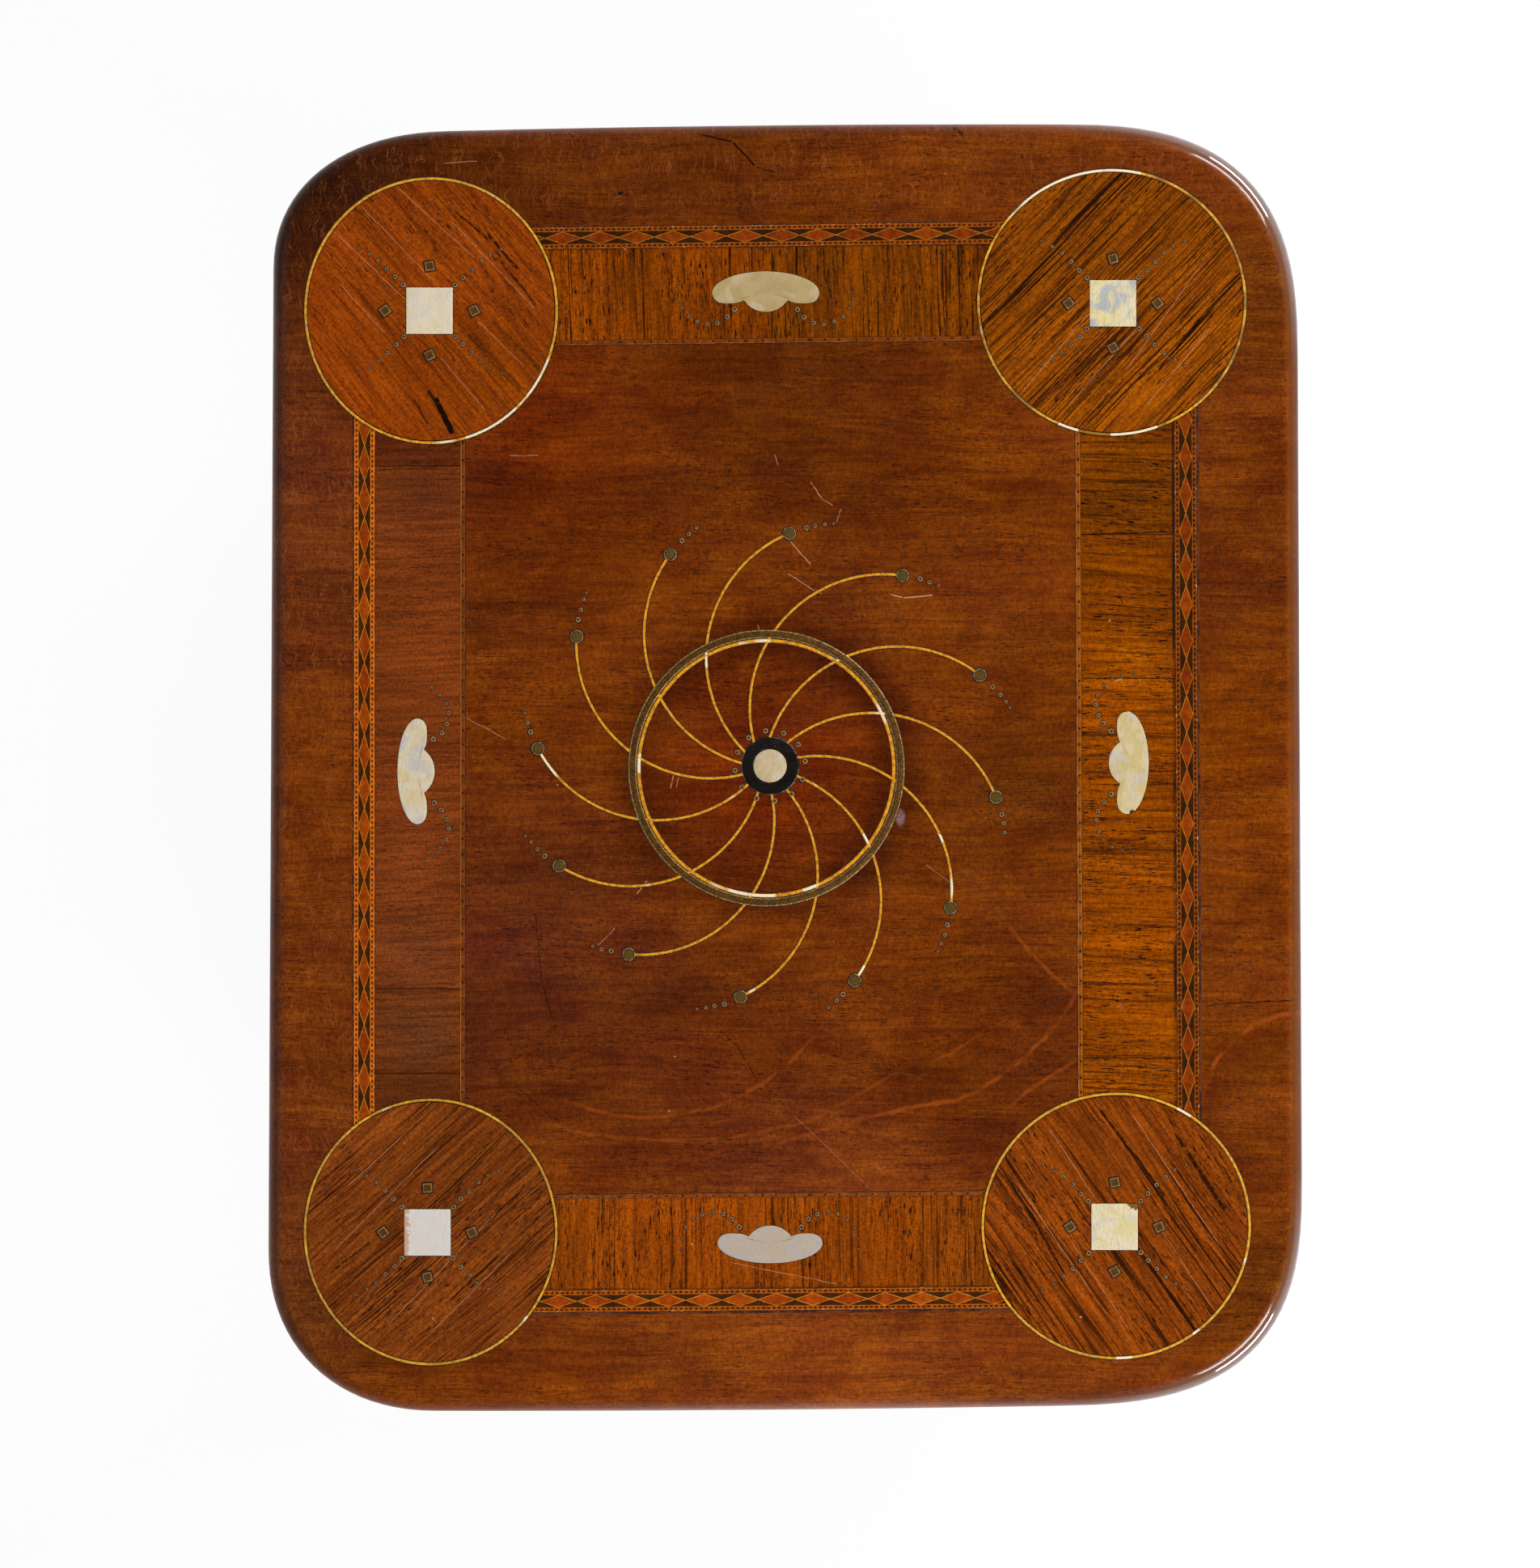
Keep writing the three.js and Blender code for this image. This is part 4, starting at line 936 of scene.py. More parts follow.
def armSweep(arm):
    # how far an arm sweeps round its striking point: 120 degrees when even, when its chord is the radius times root 3
    return 2 * math.asin(whirl["tips"][arm][1] * math.sin(math.pi / 3))


def armArc(arm, sweep):
    # an arm is an arc of the ring's radius; sweep 0 is the whirl's middle and the arm's own sweep its stud
    tip = math.radians(whirl["first"] + (whirl["tips"][arm][0] - arm) * 360 / whirl["count"])
    strike = tip - (math.pi - armSweep(arm)) / 2
    t = strike + math.pi - sweep
    x = whirl["arms"][0] + whirl["radius"] * math.cos(strike) + whirl["radius"] * np.cos(t)
    y = whirl["arms"][1] + whirl["radius"] * math.sin(strike) + whirl["radius"] * np.sin(t)
    return x, y, t


def armSkin(arm, start, end, section, across=None):
    # the section's (across, z) loop carried along the arm, across measured outwards from the striking point
    sweep = np.linspace(start, end, whirl["armSteps"])
    x, y, t = armArc(arm, sweep)
    rings = np.stack([x[:, None] + section[None, :, 0] * np.cos(t)[:, None],
                      y[:, None] + section[None, :, 0] * np.sin(t)[:, None],
                      np.broadcast_to(section[None, :, 1], (whirl["armSteps"], len(section)))], -1)
    return skin(rings, uv=None if across is None else (sweep * whirl["radius"], across))


armStart = 2 * math.asin(whirl["hubRadius"] / 2 / (2 * whirl["radius"]))
studRoom = 2 * math.asin(whirl["studRadius"] / (2 * whirl["radius"]))
armEnds = [armSweep(arm) - studRoom for arm in range(whirl["count"])]
for arm in range(whirl["count"]):
    name = "whirl_string_%02d" % (arm + 1)
    string = armSkin(arm, armStart, armEnds[arm], stringSection(strings["width"] / 2), stringAcross)
    makePiece(name + "_fine", [string], whirlWood, [name], crease=60)
ringString = annulus(whirl["centre"], [whirl["lineRadius"]] * 2, stringSection(strings["ringWidth"] / 2), 200,
                     stringAcross, 350)
makePiece("ring_string", [ringString], ringStringWood, ["whirl_ring_string"], crease=60)
print("strings laid")

# Brass: the ring, the studs at the arms' tips, lozenges, and rows and curls of small pins

brass = {"base": (124, 96, 50), "dark": (66, 48, 26), "dull": (96, 84, 52), "shine": (164, 136, 88),
         "hatchPitch": 1.7}


@shaderGroup("aged brass", {"Place": (0, 0, 0), "Age": 0.6})
def agedBrass(given):
    # Brass gone brown in patches, with fine rubbed strokes that show brighter metal
    patch = ramp(noise(given["Place"] * 0.45, 3, 0.6), 0.35, 0.65)
    strokes = noise(turned(given["Place"], 35) * (0.5, 5, 1), 2, 0.6)
    colour = mix(patch * given["Age"], tone(*brass["base"]), tone(*brass["dark"]))
    colour = mix(ramp(strokes, 0.56, 0.72), colour, tone(*brass["shine"]))
    spots = ramp(noise(given["Place"] * 1.6, 2), 0.55, 0.68)
    colour = mix(spots * 0.6, colour, tone(*brass["dull"]))
    return {"Color": colour, "Roughness": ramp(patch, 0, 1, 0.38, 0.62), "Height": strokes + patch * 0.6}


def makeBrass(name, age, metallic, tint, hatched=0, zones=()):
    # hatching is a row of slanted strokes round the whirl's middle, where noise hasn't worn them away;
    # zones are (from, to, colour, amount, worn) by the radius share that a fitting's UV carries
    material = newMaterial(name, metallic=metallic, specular=0.3 if metallic > 0.3 else 0.12)
    place = placeOf(material)
    made = useGroup(agedBrass, {"Place": place, "Age": age})
    colour = tinted(made["Color"], tint)
    if hatched:
        x, y, z = split(place - (*whirl["centre"], 0))
        out = vector("LENGTH", join(x, y, 0))
        along = calc("ARCTAN2", y, x) * whirl["radius"] + out * 0.9
        stroke = abs(fract(along / brass["hatchPitch"]) - 0.5)
        worn = ramp(noise(place * 0.3, 2), 0.4, 0.6)
        stroke = ramp(stroke, 0.1, 0.2, hatched, 0) * worn
        colour = mix(stroke, colour, tone(46, 28, 14))
        rough = ramp(noise(place * 1.2, 2), 0.45, 0.6)
        outer, inner = whirl["radius"] + 1.05, whirl["radius"] - 1.45
        edge = most(ramp(out, outer, outer + 0.3), ramp(out, inner, inner + 0.25, 1, 0))
        colour = mix(edge * (rough * 0.6 + 0.25), colour, tone(186, 152, 92))
    for start, end, zone, amount, worn in zones:
        share = alongAndAcross(material)[0]
        mask = ramp(share, start - 0.03, start + 0.03, 0, amount) * ramp(share, end - 0.03, end + 0.03, 1, 0)
        patch = ramp(noise(place * 0.55, 2, 0.6), 0.42, 0.56, 1 - worn, 1)
        colour = mix(mask * patch, colour, tone(*zone))
    return finish(material, colour, made["Height"], 0.04, roughness=made["Roughness"])


ringBrass = makeBrass("ring brass", 0.8, 0.3, (0.72, 0.52, 0.28), 0.9)
studBrass = makeBrass("stud brass", 0.6, 0.1, (0.66, 0.54, 0.3), zones=[
    (-1, 0.72, (84, 66, 26), 0.6, 0.3), (0.76, 0.86, (34, 18, 8), 0.9, 0.2), (0.86, 0.97, (166, 150, 112), 0.9, 0.8)])
# the pins' pale ring is a painted highlight round a dark centre
pinBrass = makeBrass("pin brass", 0.6, 0, (0.6, 0.44, 0.28), zones=[
    (-1, 0.46, (52, 32, 18), 0.85, 0.3), (0.5, 0.95, (154, 118, 74), 0.85, 0.5)])
# the lozenge's dark centre is painted shade in its sunken middle, and its pale frame a painted highlight on its raised
# rim
lozengeBrass = makeBrass("lozenge brass", 0.6, 0, (0.6, 0.46, 0.26), zones=[
    (-1, 0.66, (70, 46, 20), 0.8, 0.4), (0.7, 0.96, (146, 112, 62), 0.85, 0.6)])
# the ring's section: a flat band with rolled edges and a shallow groove inside its outer edge
ringSection = [(-1.75, -0.8), (-1.75, 0.02), (-1.62, 0.16), (-1.35, 0.22), (0.75, 0.24), (0.95, 0.08), (1.1, 0.08),
               (1.25, 0.24), (1.5, 0.2), (1.72, 0.05), (1.75, -0.8)]
ringRadii = [whirl["radius"]] * 2
ringBand = annulus(whirl["centre"], ringRadii, onTop(ringSection), 220)
makePiece("brass_ring", [ringBand], ringBrass, ["whirl_ring_brass"], crease=40)


def dome(profile, steps, corners=0):
    # rows of (radius, z) turned round Z; with corners the loop is a polygon whose corners lie on the radius
    t = np.arange(steps) * 2 * math.pi / steps
    reach = np.ones(steps)
    if corners:
        wedge = math.pi / corners
        reach = math.cos(wedge) / np.cos((t + wedge) % (2 * wedge) - wedge)
    profile = np.asarray(profile, float)
    x, y = (profile[:, :1] * reach * part for part in (np.cos(t), np.sin(t)))
    return skin(np.stack([x, y, np.broadcast_to(profile[:, 1:], x.shape)], -1),
                uv=(profile[:, 0], np.linspace(0, 1, steps + 1)))


# rows of pins: distance from the last fitting or the square's middle, bend off the diagonal, and diameter
pins = {
    "hubSize": 2.5, "trailReach": (7.75, 12, 16.2, 19.7), "trailSizes": (2.4, 2, 1.6, 1.2), "scatter": 0.18,
    "rowReach": (15.9, 20.6, 25.9, 31.2, 36.2, 41.4), "rowBend": (0, 0, 0.005, 0.01, 0.03, 0.07),
    "rowSizes": (2.4, 2.2, 2, 1.7, 1.4, 1.1), "curlCount": 9, "curlSizes": (2.5, 0.9), "curlDegrees": (-146, 6),
    "curlMiddle": (25, 0.5), "curlRadii": (13.6, 14.6),
}
rng = np.random.default_rng(7)
studPlaces, hubPins, trailPins = [], [], []
for arm in range(whirl["count"]):
    x, y, t = armArc(arm, np.array([armSweep(arm)]))
    studPlaces.append((x[0], y[0], board["height"]))
    run = np.array(pins["trailReach"])[: 4 - arm % 2]
    x, y, t = armArc(arm, armSweep(arm) + run / whirl["radius"])
    trailPins += [(px, py, board["height"], size) for px, py, size in zip(x, y, pins["trailSizes"])]
    angle = math.radians(7.5 + arm * 360 / whirl["count"])
    x, y = whirl["hub"]
    x, y = x + whirl["pinCircle"] * math.cos(angle), y + whirl["pinCircle"] * math.sin(angle)
    hubPins.append((x, y, board["height"], pins["hubSize"]))

studShape = dome([(0.5, 0.1), (0.74, 0.08), (0.79, 0.02), (0.85, 0.02), (0.9, 0.09), (0.97, 0.05), (1, -0.02),
                  (1, -0.5)], 28)
pinShape = dome([(0.42, 0.09), (0.52, 0.12), (0.8, 0.1), (0.96, 0.03), (1, -0.03), (1, -0.5)], 12)
lozengeShape = dome([(0.6, 0.2), (0.7, 0.22), (0.92, 0.17), (1, 0.06), (1, -0.5)], 16, corners=4)
studSizes = np.full(len(studPlaces), whirl["studRadius"])
makePiece("whirl_studs", [copies(studShape, studPlaces, studSizes, rng.uniform(0, 6, len(studPlaces)))],
          studBrass)

lozenges = {"reach": 19.4, "corner": 2.95, "turns": (30, 10, 35, 22)}
rowPins, lozengePlaces, lozengeTurns = [], [], []
for name, roundel in roundels.items():
    cx, cy = roundel["pearl"]
    for k in range(4):
        angle = k * math.pi / 2
        lozengePlaces.append((cx + lozenges["reach"] * math.cos(angle), cy + lozenges["reach"] * math.sin(angle),
                              board["height"]))
        lozengeTurns.append(math.radians(lozenges["turns"][k]) + rng.uniform(-0.15, 0.15))
        curl = math.radians(45 + 90 * k) + np.array(pins["rowBend"]) * (1 if k % 2 else -1)
        for distance, way, size in zip(pins["rowReach"], curl, pins["rowSizes"]):
            rowPins.append((cx + distance * math.cos(way), cy + distance * math.sin(way), board["height"], size))
makePiece("lozenge_studs", [copies(lozengeShape, lozengePlaces, np.full(len(lozengePlaces), lozenges["corner"]),
                                   lozengeTurns)], lozengeBrass)

# curls of pins hook from each cloud's notches round its ends: an elliptical arc beside the cloud
clouds = {
    "left": {"size": (46.2, 16.4), "across": 0.516, "along": 0, "turn": 1},
    "right": {"size": (44.8, 17.6), "across": 0.496, "along": 0.0015, "turn": 3},
    "back": {"size": (46.9, 17.8), "across": 0.506, "along": -0.0085, "turn": 0},
    "front": {"size": (45.9, 16.6), "across": 0.515, "along": -0.005, "turn": 2},
}


def cloudPlace(side):
    # the cloud's middle and the quarter turns that point its local y outwards
    belt, cloud = belts[side], clouds[side]
    out = belt["edges"][2] + cloud["across"] * (belt["edges"][1] - belt["edges"][2])
    along = sum(belt["span"]) / 2 + cloud["along"] * (belt["span"][1] - belt["span"][0])
    centre = (belt["out"] * out, along) if belt["axis"] == 0 else (along, belt["out"] * out)
    return np.array(centre), cloud["turn"] * math.pi / 2


def turnedTo(points, centre, angle):
    cos, sin = math.cos(angle), math.sin(angle)
    return np.stack([centre[0] + points[:, 0] * cos - points[:, 1] * sin,
                     centre[1] + points[:, 0] * sin + points[:, 1] * cos], -1)


curlPins = []
for side in clouds:
    centre, angle = cloudPlace(side)
    t = np.radians(np.linspace(*pins["curlDegrees"], pins["curlCount"]))
    (x, y), (radiusX, radiusY) = pins["curlMiddle"], pins["curlRadii"]
    sizes = np.linspace(*pins["curlSizes"], pins["curlCount"])
    for hand in (1, -1):
        spots = turnedTo(np.stack([hand * (x + radiusX * np.cos(t)), y + radiusY * np.sin(t)], -1), centre, angle)
        curlPins += [(px, py, board["height"], size) for (px, py), size in zip(spots, sizes)]

allPins = np.array(hubPins + trailPins + rowPins + curlPins)
allPins[len(hubPins):, :2] += rng.normal(0, pins["scatter"], (len(allPins) - len(hubPins), 2))
makePiece("pins", [copies(pinShape, allPins[:, :3], allPins[:, 3] / 2, rng.uniform(0, 6, len(allPins)))],
          pinBrass)
print("brass set:", len(allPins), "pins")

# Mother-of-pearl: squares, clouds and the hub's disc


@shaderGroup("pearl sheen", {"Place": (0, 0, 0), "Base": tone(219, 203, 175), "Warm": tone(206, 190, 138),
                             "Cool": tone(196, 192, 200), "Mottle": 0.6})
def pearlSheen(given):
    # Nacre: soft patches of cream, yellow, lilac and grey-green, with fine wavy growth lines
    patch = noise(given["Place"] * 0.09, 3, 0.5, 1)
    other = noise(given["Place"] * 0.11 + (7, 3, 1), 2, 0.5, 0.8)
    lines = noise(given["Place"] * (0.9, 0.14, 0.3), 3, 0.6, 2)
    colour = mix(ramp(patch, 0.42, 0.62) * given["Mottle"], given["Base"], given["Warm"])
    colour = mix(ramp(other, 0.5, 0.66) * given["Mottle"], colour, given["Cool"])
    vein = ramp(lines, 0.53, 0.58) * ramp(lines, 0.58, 0.63, 1, 0)
    colour = mix(vein * (given["Mottle"] * 0.6), colour, tone(158, 142, 110))
    return {"Color": colour, "Height": patch + lines}


def makePearl(name, base, warm, cool, mottle, stained=None, broken=None):
    # stained is the x of a left edge where brown polish has crept over the shell;
    # broken is (x, y, radius, colour) of a broken place that is filled with polish
    material = newMaterial(name, roughness=0.26, specular=0.5)
    made = useGroup(pearlSheen, {"Place": placeOf(material), "Base": tone(*base), "Warm": tone(*warm),
                                 "Cool": tone(*cool), "Mottle": mottle})
    colour = made["Color"]
    if stained is not None:
        patch = ramp(noise(placeOf(material) * 0.5, 3, 0.6), 0.35, 0.65, -1, 1.5)
        crept = ramp(split(placeOf(material))[0] - patch, stained, stained + 1.6, 0.7, 0)
        colour = mix(crept, colour, tone(190, 134, 84))
    if broken is not None:
        x, y, radius, filling = broken
        flat = inPlan(placeOf(material))
        away = vector("LENGTH", flat - (x, y, 0))
        ragged = ramp(noise(placeOf(material), 2, 0.6), 0.35, 0.65, -0.4, 0.4)
        inside = ramp(away + ragged, radius - 0.25, radius + 0.15, 1, 0)
        colour = mix(inside, colour, tone(*filling))
    return finish(material, colour, made["Height"], 0.08)


shell = {"squareHalf": 10.15, "squareBevel": 0.18, "cloudBevel": 0.25, "lift": 0.06}


def plate(outline, bevel):
    # a plaque with a small rounded arris: loops of the outline drawn in, from the face down its side
    top = board["height"] + shell["lift"]
    profile = [(1.2, top), (bevel * 1.5, top), (bevel * 0.4, top - bevel * 0.25), (0, top - bevel), (0, top - 1.2)]
    return skin(stack(outline, profile))


def squareOutline(centre, half):
    # corners and points along the sides, drawn in by the inset
    share = np.linspace(-1, 1, 9)[:-1]
    side = np.stack([share, np.full(8, -1)], -1)
    loop = np.concatenate([turnedTo(side, (0, 0), k * math.pi / 2) for k in range(4)])
    return lambda inset: np.array(centre) + loop * (half - inset)


def cloudOutline(side):
    # the arch is half an ellipse; the side lobes are quadratic curves to two cusps, and the middle lobe is an arc
    # through them
    length, height = clouds[side]["size"]
    reach = length / 2
    half = np.linspace(0, math.pi, 41)[:-1]
    arch = np.stack([reach * np.cos(half), height * (-0.04 + 0.54 * np.sin(half))], -1)

    def bend(a, b, c, steps):
        # (1 - t)^2 a + 2 t (1 - t) b + t^2 c
        t = np.linspace(0, 1, steps + 1)[:-1, None]
        return ((1 - t) ** 2 * np.array(a) + 2 * t * (1 - t) * np.array(b) + t**2 * np.array(c)) * (reach, height)

    cuspX, cuspY, low = 0.41 * reach, -0.21 * height, -0.5 * height
    radius = (cuspX**2 + (cuspY - low) ** 2) / (2 * (cuspY - low))
    start = math.atan2(cuspY - low - radius, -cuspX)
    lobe = np.linspace(start, -math.pi - start, 17)[:-1]
    middle = np.stack([radius * np.cos(lobe), low + radius + radius * np.sin(lobe)], -1)
    loop = np.concatenate([arch, bend((-1, -0.04), (-0.98, -0.33), (-0.64, -0.29), 9),
                           bend((-0.64, -0.29), (-0.5, -0.29), (-0.41, -0.21), 5), middle,
                           bend((0.41, -0.21), (0.5, -0.29), (0.64, -0.29), 5),
                           bend((0.64, -0.29), (0.98, -0.33), (1, -0.04), 9)])
    # each point moves in along the loop's own normal
    ahead, behind = np.roll(loop, -1, axis=0), np.roll(loop, 1, axis=0)
    way = ahead - behind
    inward = np.stack([-way[:, 1], way[:, 0]], -1) / np.linalg.norm(way, axis=1, keepdims=True)
    centre, angle = cloudPlace(side)
    return lambda inset: turnedTo(loop + inward * inset, centre, angle)


# base, warm and cool colour, mottle, and where it has them the stained edge and the broken place
pearls = {
    "back_left": ((222, 208, 182), (214, 198, 150), (208, 202, 200), 0.5),
    "back_right": ((222, 209, 176), (222, 204, 146), (176, 178, 182), 1),
    "front_left": ((216, 208, 200), (210, 200, 190), (206, 204, 210), 0.3, -165.4),
    "front_right": ((222, 208, 174), (214, 198, 138), (200, 194, 188), 0.8, None,
                    (153.6, -186.5, 5.9, (116, 84, 48))),
}
cloudPearls = {
    "left": ((214, 200, 176), (212, 190, 140), (190, 184, 186), 0.8),
    "right": ((210, 190, 148), (198, 178, 118), (192, 184, 178), 0.85, None, (151.2, -19.7, 1.5, (70, 44, 24))),
    "back": ((182, 157, 110), (170, 148, 98), (194, 172, 138), 0.8),
    "front": ((182, 168, 158), (184, 164, 140), (172, 164, 168), 0.7),
}
for name, values in pearls.items():
    square = plate(squareOutline(roundels[name]["pearl"], shell["squareHalf"]), shell["squareBevel"])
    pearl = makePearl("pearl " + name.replace("_", " "), *values)
    makePiece("pearl_" + name, [square], pearl, ["pearl_square_" + name], crease=30)
for side, values in cloudPearls.items():
    pearl = makePearl("pearl cloud " + side, *values)
    makePiece("cloud_" + side, [plate(cloudOutline(side), shell["cloudBevel"])], pearl,
              ["pearl_cloud_" + side], crease=30)

# The hub: a turned ebony ring with a low pearl dome


def makeEbony():
    material = newMaterial("ebony", roughness=0.28, specular=0.4)
    place = placeOf(material)
    grain = useGroup(woodGrain, {"Place": place, "Seed": 71, "Light": tone(26, 20, 17), "Dark": tone(16, 11, 9),
                                 "Streak": tone(10, 7, 6), "Pore": tone(7, 4, 3), "Bend": 4})
    rub = noise(turned(place, 60) * (0.3, 3.5, 1), 2)
    colour = mix(ramp(rub, 0.68, 0.76, 0, 0.4), grain["Color"], tone(92, 80, 74))
    gap = gapTo(inPlan(place), (*whirl["hub"], 0))
    rim = ramp(gap, whirl["hubRadius"] - 0.6, whirl["hubRadius"] - 0.2)
    rim = rim * ramp(noise(place * 0.2, 2), 0.45, 0.6, 0, 0.6)
    return finish(material, mix(rim, colour, tone(120, 96, 88)), grain["Height"], 0.05)


hubSection = [(-5.5, -1.2), (-5.5, 0), (-5.3, 0.12), (-4.4, 0.16), (-2.6, 0.18), (-0.8, 0.14), (-0.2, 0.06),
              (0, -0.06), (0, -1.2)]
hubRing = annulus(whirl["hub"], [whirl["hubRadius"]] * 2, onTop(hubSection), 120)
makePiece("hub_ring_turned", [hubRing], makeEbony(), ["hub_ring"], crease=40)
hubRows = onTop([(2, 0.34), (4.4, 0.29), (6.2, 0.2), (6.9, 0.1), (whirl["pearlRadius"], 0),
                 (whirl["pearlRadius"], -1.2)])
hubDome = skin(stack(lambda radius: circle(whirl["hub"], (radius, radius), 72), hubRows))
hubPearl = makePearl("hub pearl", (200, 178, 144), (190, 166, 124), (200, 188, 166), 0.8)
makePiece("hub_pearl_dome", [hubDome], hubPearl, ["hub_pearl"], crease=30)
print("pearl set")

# Dark glue that shows as a thin line round every inlay

# line and fine are how far it shows beside an inlay and beside a string, and below is how far under the top's level it
# lies; stringHalf and ringBand are where the beds of the strings and of the ring end
glue = {"line": 0.28, "fine": 0.2, "below": 0.05, "colour": (34, 15, 9), "stringHalf": 0.7, "ringBand": (-4.1, 2.1)}


def makeGlue(name="old glue", wood=None):
    material = newMaterial(name, roughness=0.6, specular=0.2)
    crumb = ramp(noise(placeOf(material) * 0.8, 3, 0.6), 0.4, 0.7)
    colour = mix(crumb, tone(*glue["colour"]), tone(66, 32, 16))
    if wood:
        bare = ramp(noise(placeOf(material) * 0.09, 4, 0.65), 0.42, 0.56)
        colour = mix(bare, colour, tone(*wood))
    chalk = ramp(noise(placeOf(material), 3, 0.65), 0.64, 0.7, 0, 0.35 if wood else 0.7)
    return finish(material, mix(chalk, colour, tone(200, 150, 110)), crumb, 0.05)


def bed(outline, grow, below=glue["below"]):
    # a thin plate under an inlay, a little larger than it
    top = board["height"] - below
    return skin(stack(lambda inset: outline(inset - grow), [(1, top), (0, top), (0, top - 1)]))


def beltOutline(side, more=0):
    # the whole belt in plan, between its two roundels' middles, with a little more on its outer side
    belt = belts[side]
    low, high = sorted((belt["out"] * (belt["edges"][0] + more), belt["out"] * belt["edges"][3]))
    (start, end), lean = belt["span"], belt["lean"]

    def outline(inset):
        a, b = low + inset, high - inset
        loop = np.array([(a - lean, start), (b - lean, start), (b + lean, end), (a + lean, end)])
        return loop if belt["axis"] == 0 else loop[:, ::-1]

    return outline


def roundOutline(centre, radii, steps):
    return lambda inset: circle(centre, (radii[0] - inset, radii[1] - inset), steps)


def flatSection(inner, outer):
    return onTop([(inner, -1), (inner, -glue["below"]), (outer, -glue["below"]), (outer, -1)])


beds = [bed(roundOutline(roundel["centre"], roundel["radii"], 120), glue["line"]) for roundel in roundels.values()]
beds += [bed(beltOutline(side), glue["line"]) for side in belts]
beds.append(bed(roundOutline(whirl["hub"], [whirl["hubRadius"]] * 2, 72), glue["line"]))
armHalf = glue["stringHalf"] + glue["fine"]
armBed = np.array(flatSection(-armHalf, armHalf))
beds += [armSkin(arm, armStart, armEnds[arm], armBed) for arm in range(whirl["count"])]
beds.append(annulus(whirl["centre"], ringRadii, flatSection(*glue["ringBand"]), 160))
glueMaterial = makeGlue()
makePiece("glue_lines", beds, glueMaterial, crease=30)
edgeBeds = [bed(beltOutline(side, belt["glue"]), 0, glue["below"] + 0.02) for side, belt in belts.items()]
makePiece("glue_edges", edgeBeds, makeGlue("edge glue", (98, 45, 11)), crease=30)

# a dark rim round every stud and pin, where the wood has drawn back from the metal
rimShape = dome([(0.5, 0), (1, 0), (1, -0.5)], 12)
rims = [(x, y, z, whirl["studRadius"] + 0.45) for x, y, z in studPlaces]
rims = np.array(rims + [(x, y, z, size / 2 + 0.3) for x, y, z, size in allPins])
rims[:, 2] += 0.02
rimSkins = [copies(rimShape, rims[:, :3], rims[:, 3], np.zeros(len(rims)))]
squareRim = dome([(0.5, 0.02), (1, 0.02), (1, -0.5)], 16, corners=4)
rimSkins.append(copies(squareRim, lozengePlaces, np.full(len(lozengePlaces), lozenges["corner"] + 0.7), lozengeTurns))
makePiece("stud_rims", rimSkins, glueMaterial, crease=30)
print("glue lines and rims made")

# Base: legs, aprons, end rails, shelf and corner blocks

base = {
    "outerX": 180, "outerY": 234.5, "legSize": 38, "footSize": 22, "knee": 596, "legTop": 680, "arris": 1.5,
    "footRound": 1.2, "apronHeight": 70, "apronThickness": 18, "apronReveal": 3, "beadRadius": 2.4,
    "beadProjection": 1.8, "blockArris": 0.6, "railArris": 0.8, "light": (108, 47, 13), "dark": (82, 33, 9),
    "streak": (56, 20, 7),
}


def makeBaseWood(name, along, seed):
    # along is the axis that the grain follows: 0, 1 or 2
    material = newMaterial(name, specular=0.2)
    place = placeOf(material)
    parts = split(place)
    order = {0: (0, 1, 2), 1: (1, 0, 2), 2: (2, 0, 1)}[along]
    grain = useGroup(woodGrain, {"Place": join(*(parts[k] for k in order)), "Seed": seed,
                                 "Light": tone(*base["light"]), "Dark": tone(*base["dark"]),
                                 "Streak": tone(*base["streak"]), "Streak Amount": 0.4, "Pore": tone(40, 15, 8),
                                 "Pore Amount": 0.5, "Bend": 12, "Speckle": 0.25})
    colour = grain["Color"]
    # feet darkened by floors and polish, and painted shade just under the top
    low = ramp(parts[2], 0, 60, 0.6, 0)
    # high is painted shade just under the top
    high = ramp(parts[2], 640, 682, 0, 0.45)
    colour = mix(most(low, high), colour, tone(36, 15, 9))
    blotch = ramp(noise(place * 0.018, 3), 0.35, 0.65, 0.85, 1.12)
    colour = shaded(colour, blotch)
    specks = useGroup(flecks, {"Place": place, "Spacing": 22, "Size": 0.05, "Share": 0.3})["Mask"]
    colour = mix(specks * 0.5, colour, tone(180, 112, 74))
    return finish(material, colour, grain["Height"], 0.07, roughness=ramp(grain["Tone"], 0, 1, 0.44, 0.32))


uprightWood, crossWood, lengthWood = (makeBaseWood(name, axis, seed) for name, axis, seed in
                                      (("leg wood", 2, 5), ("rail wood", 0, 31), ("side wood", 1, 53)))


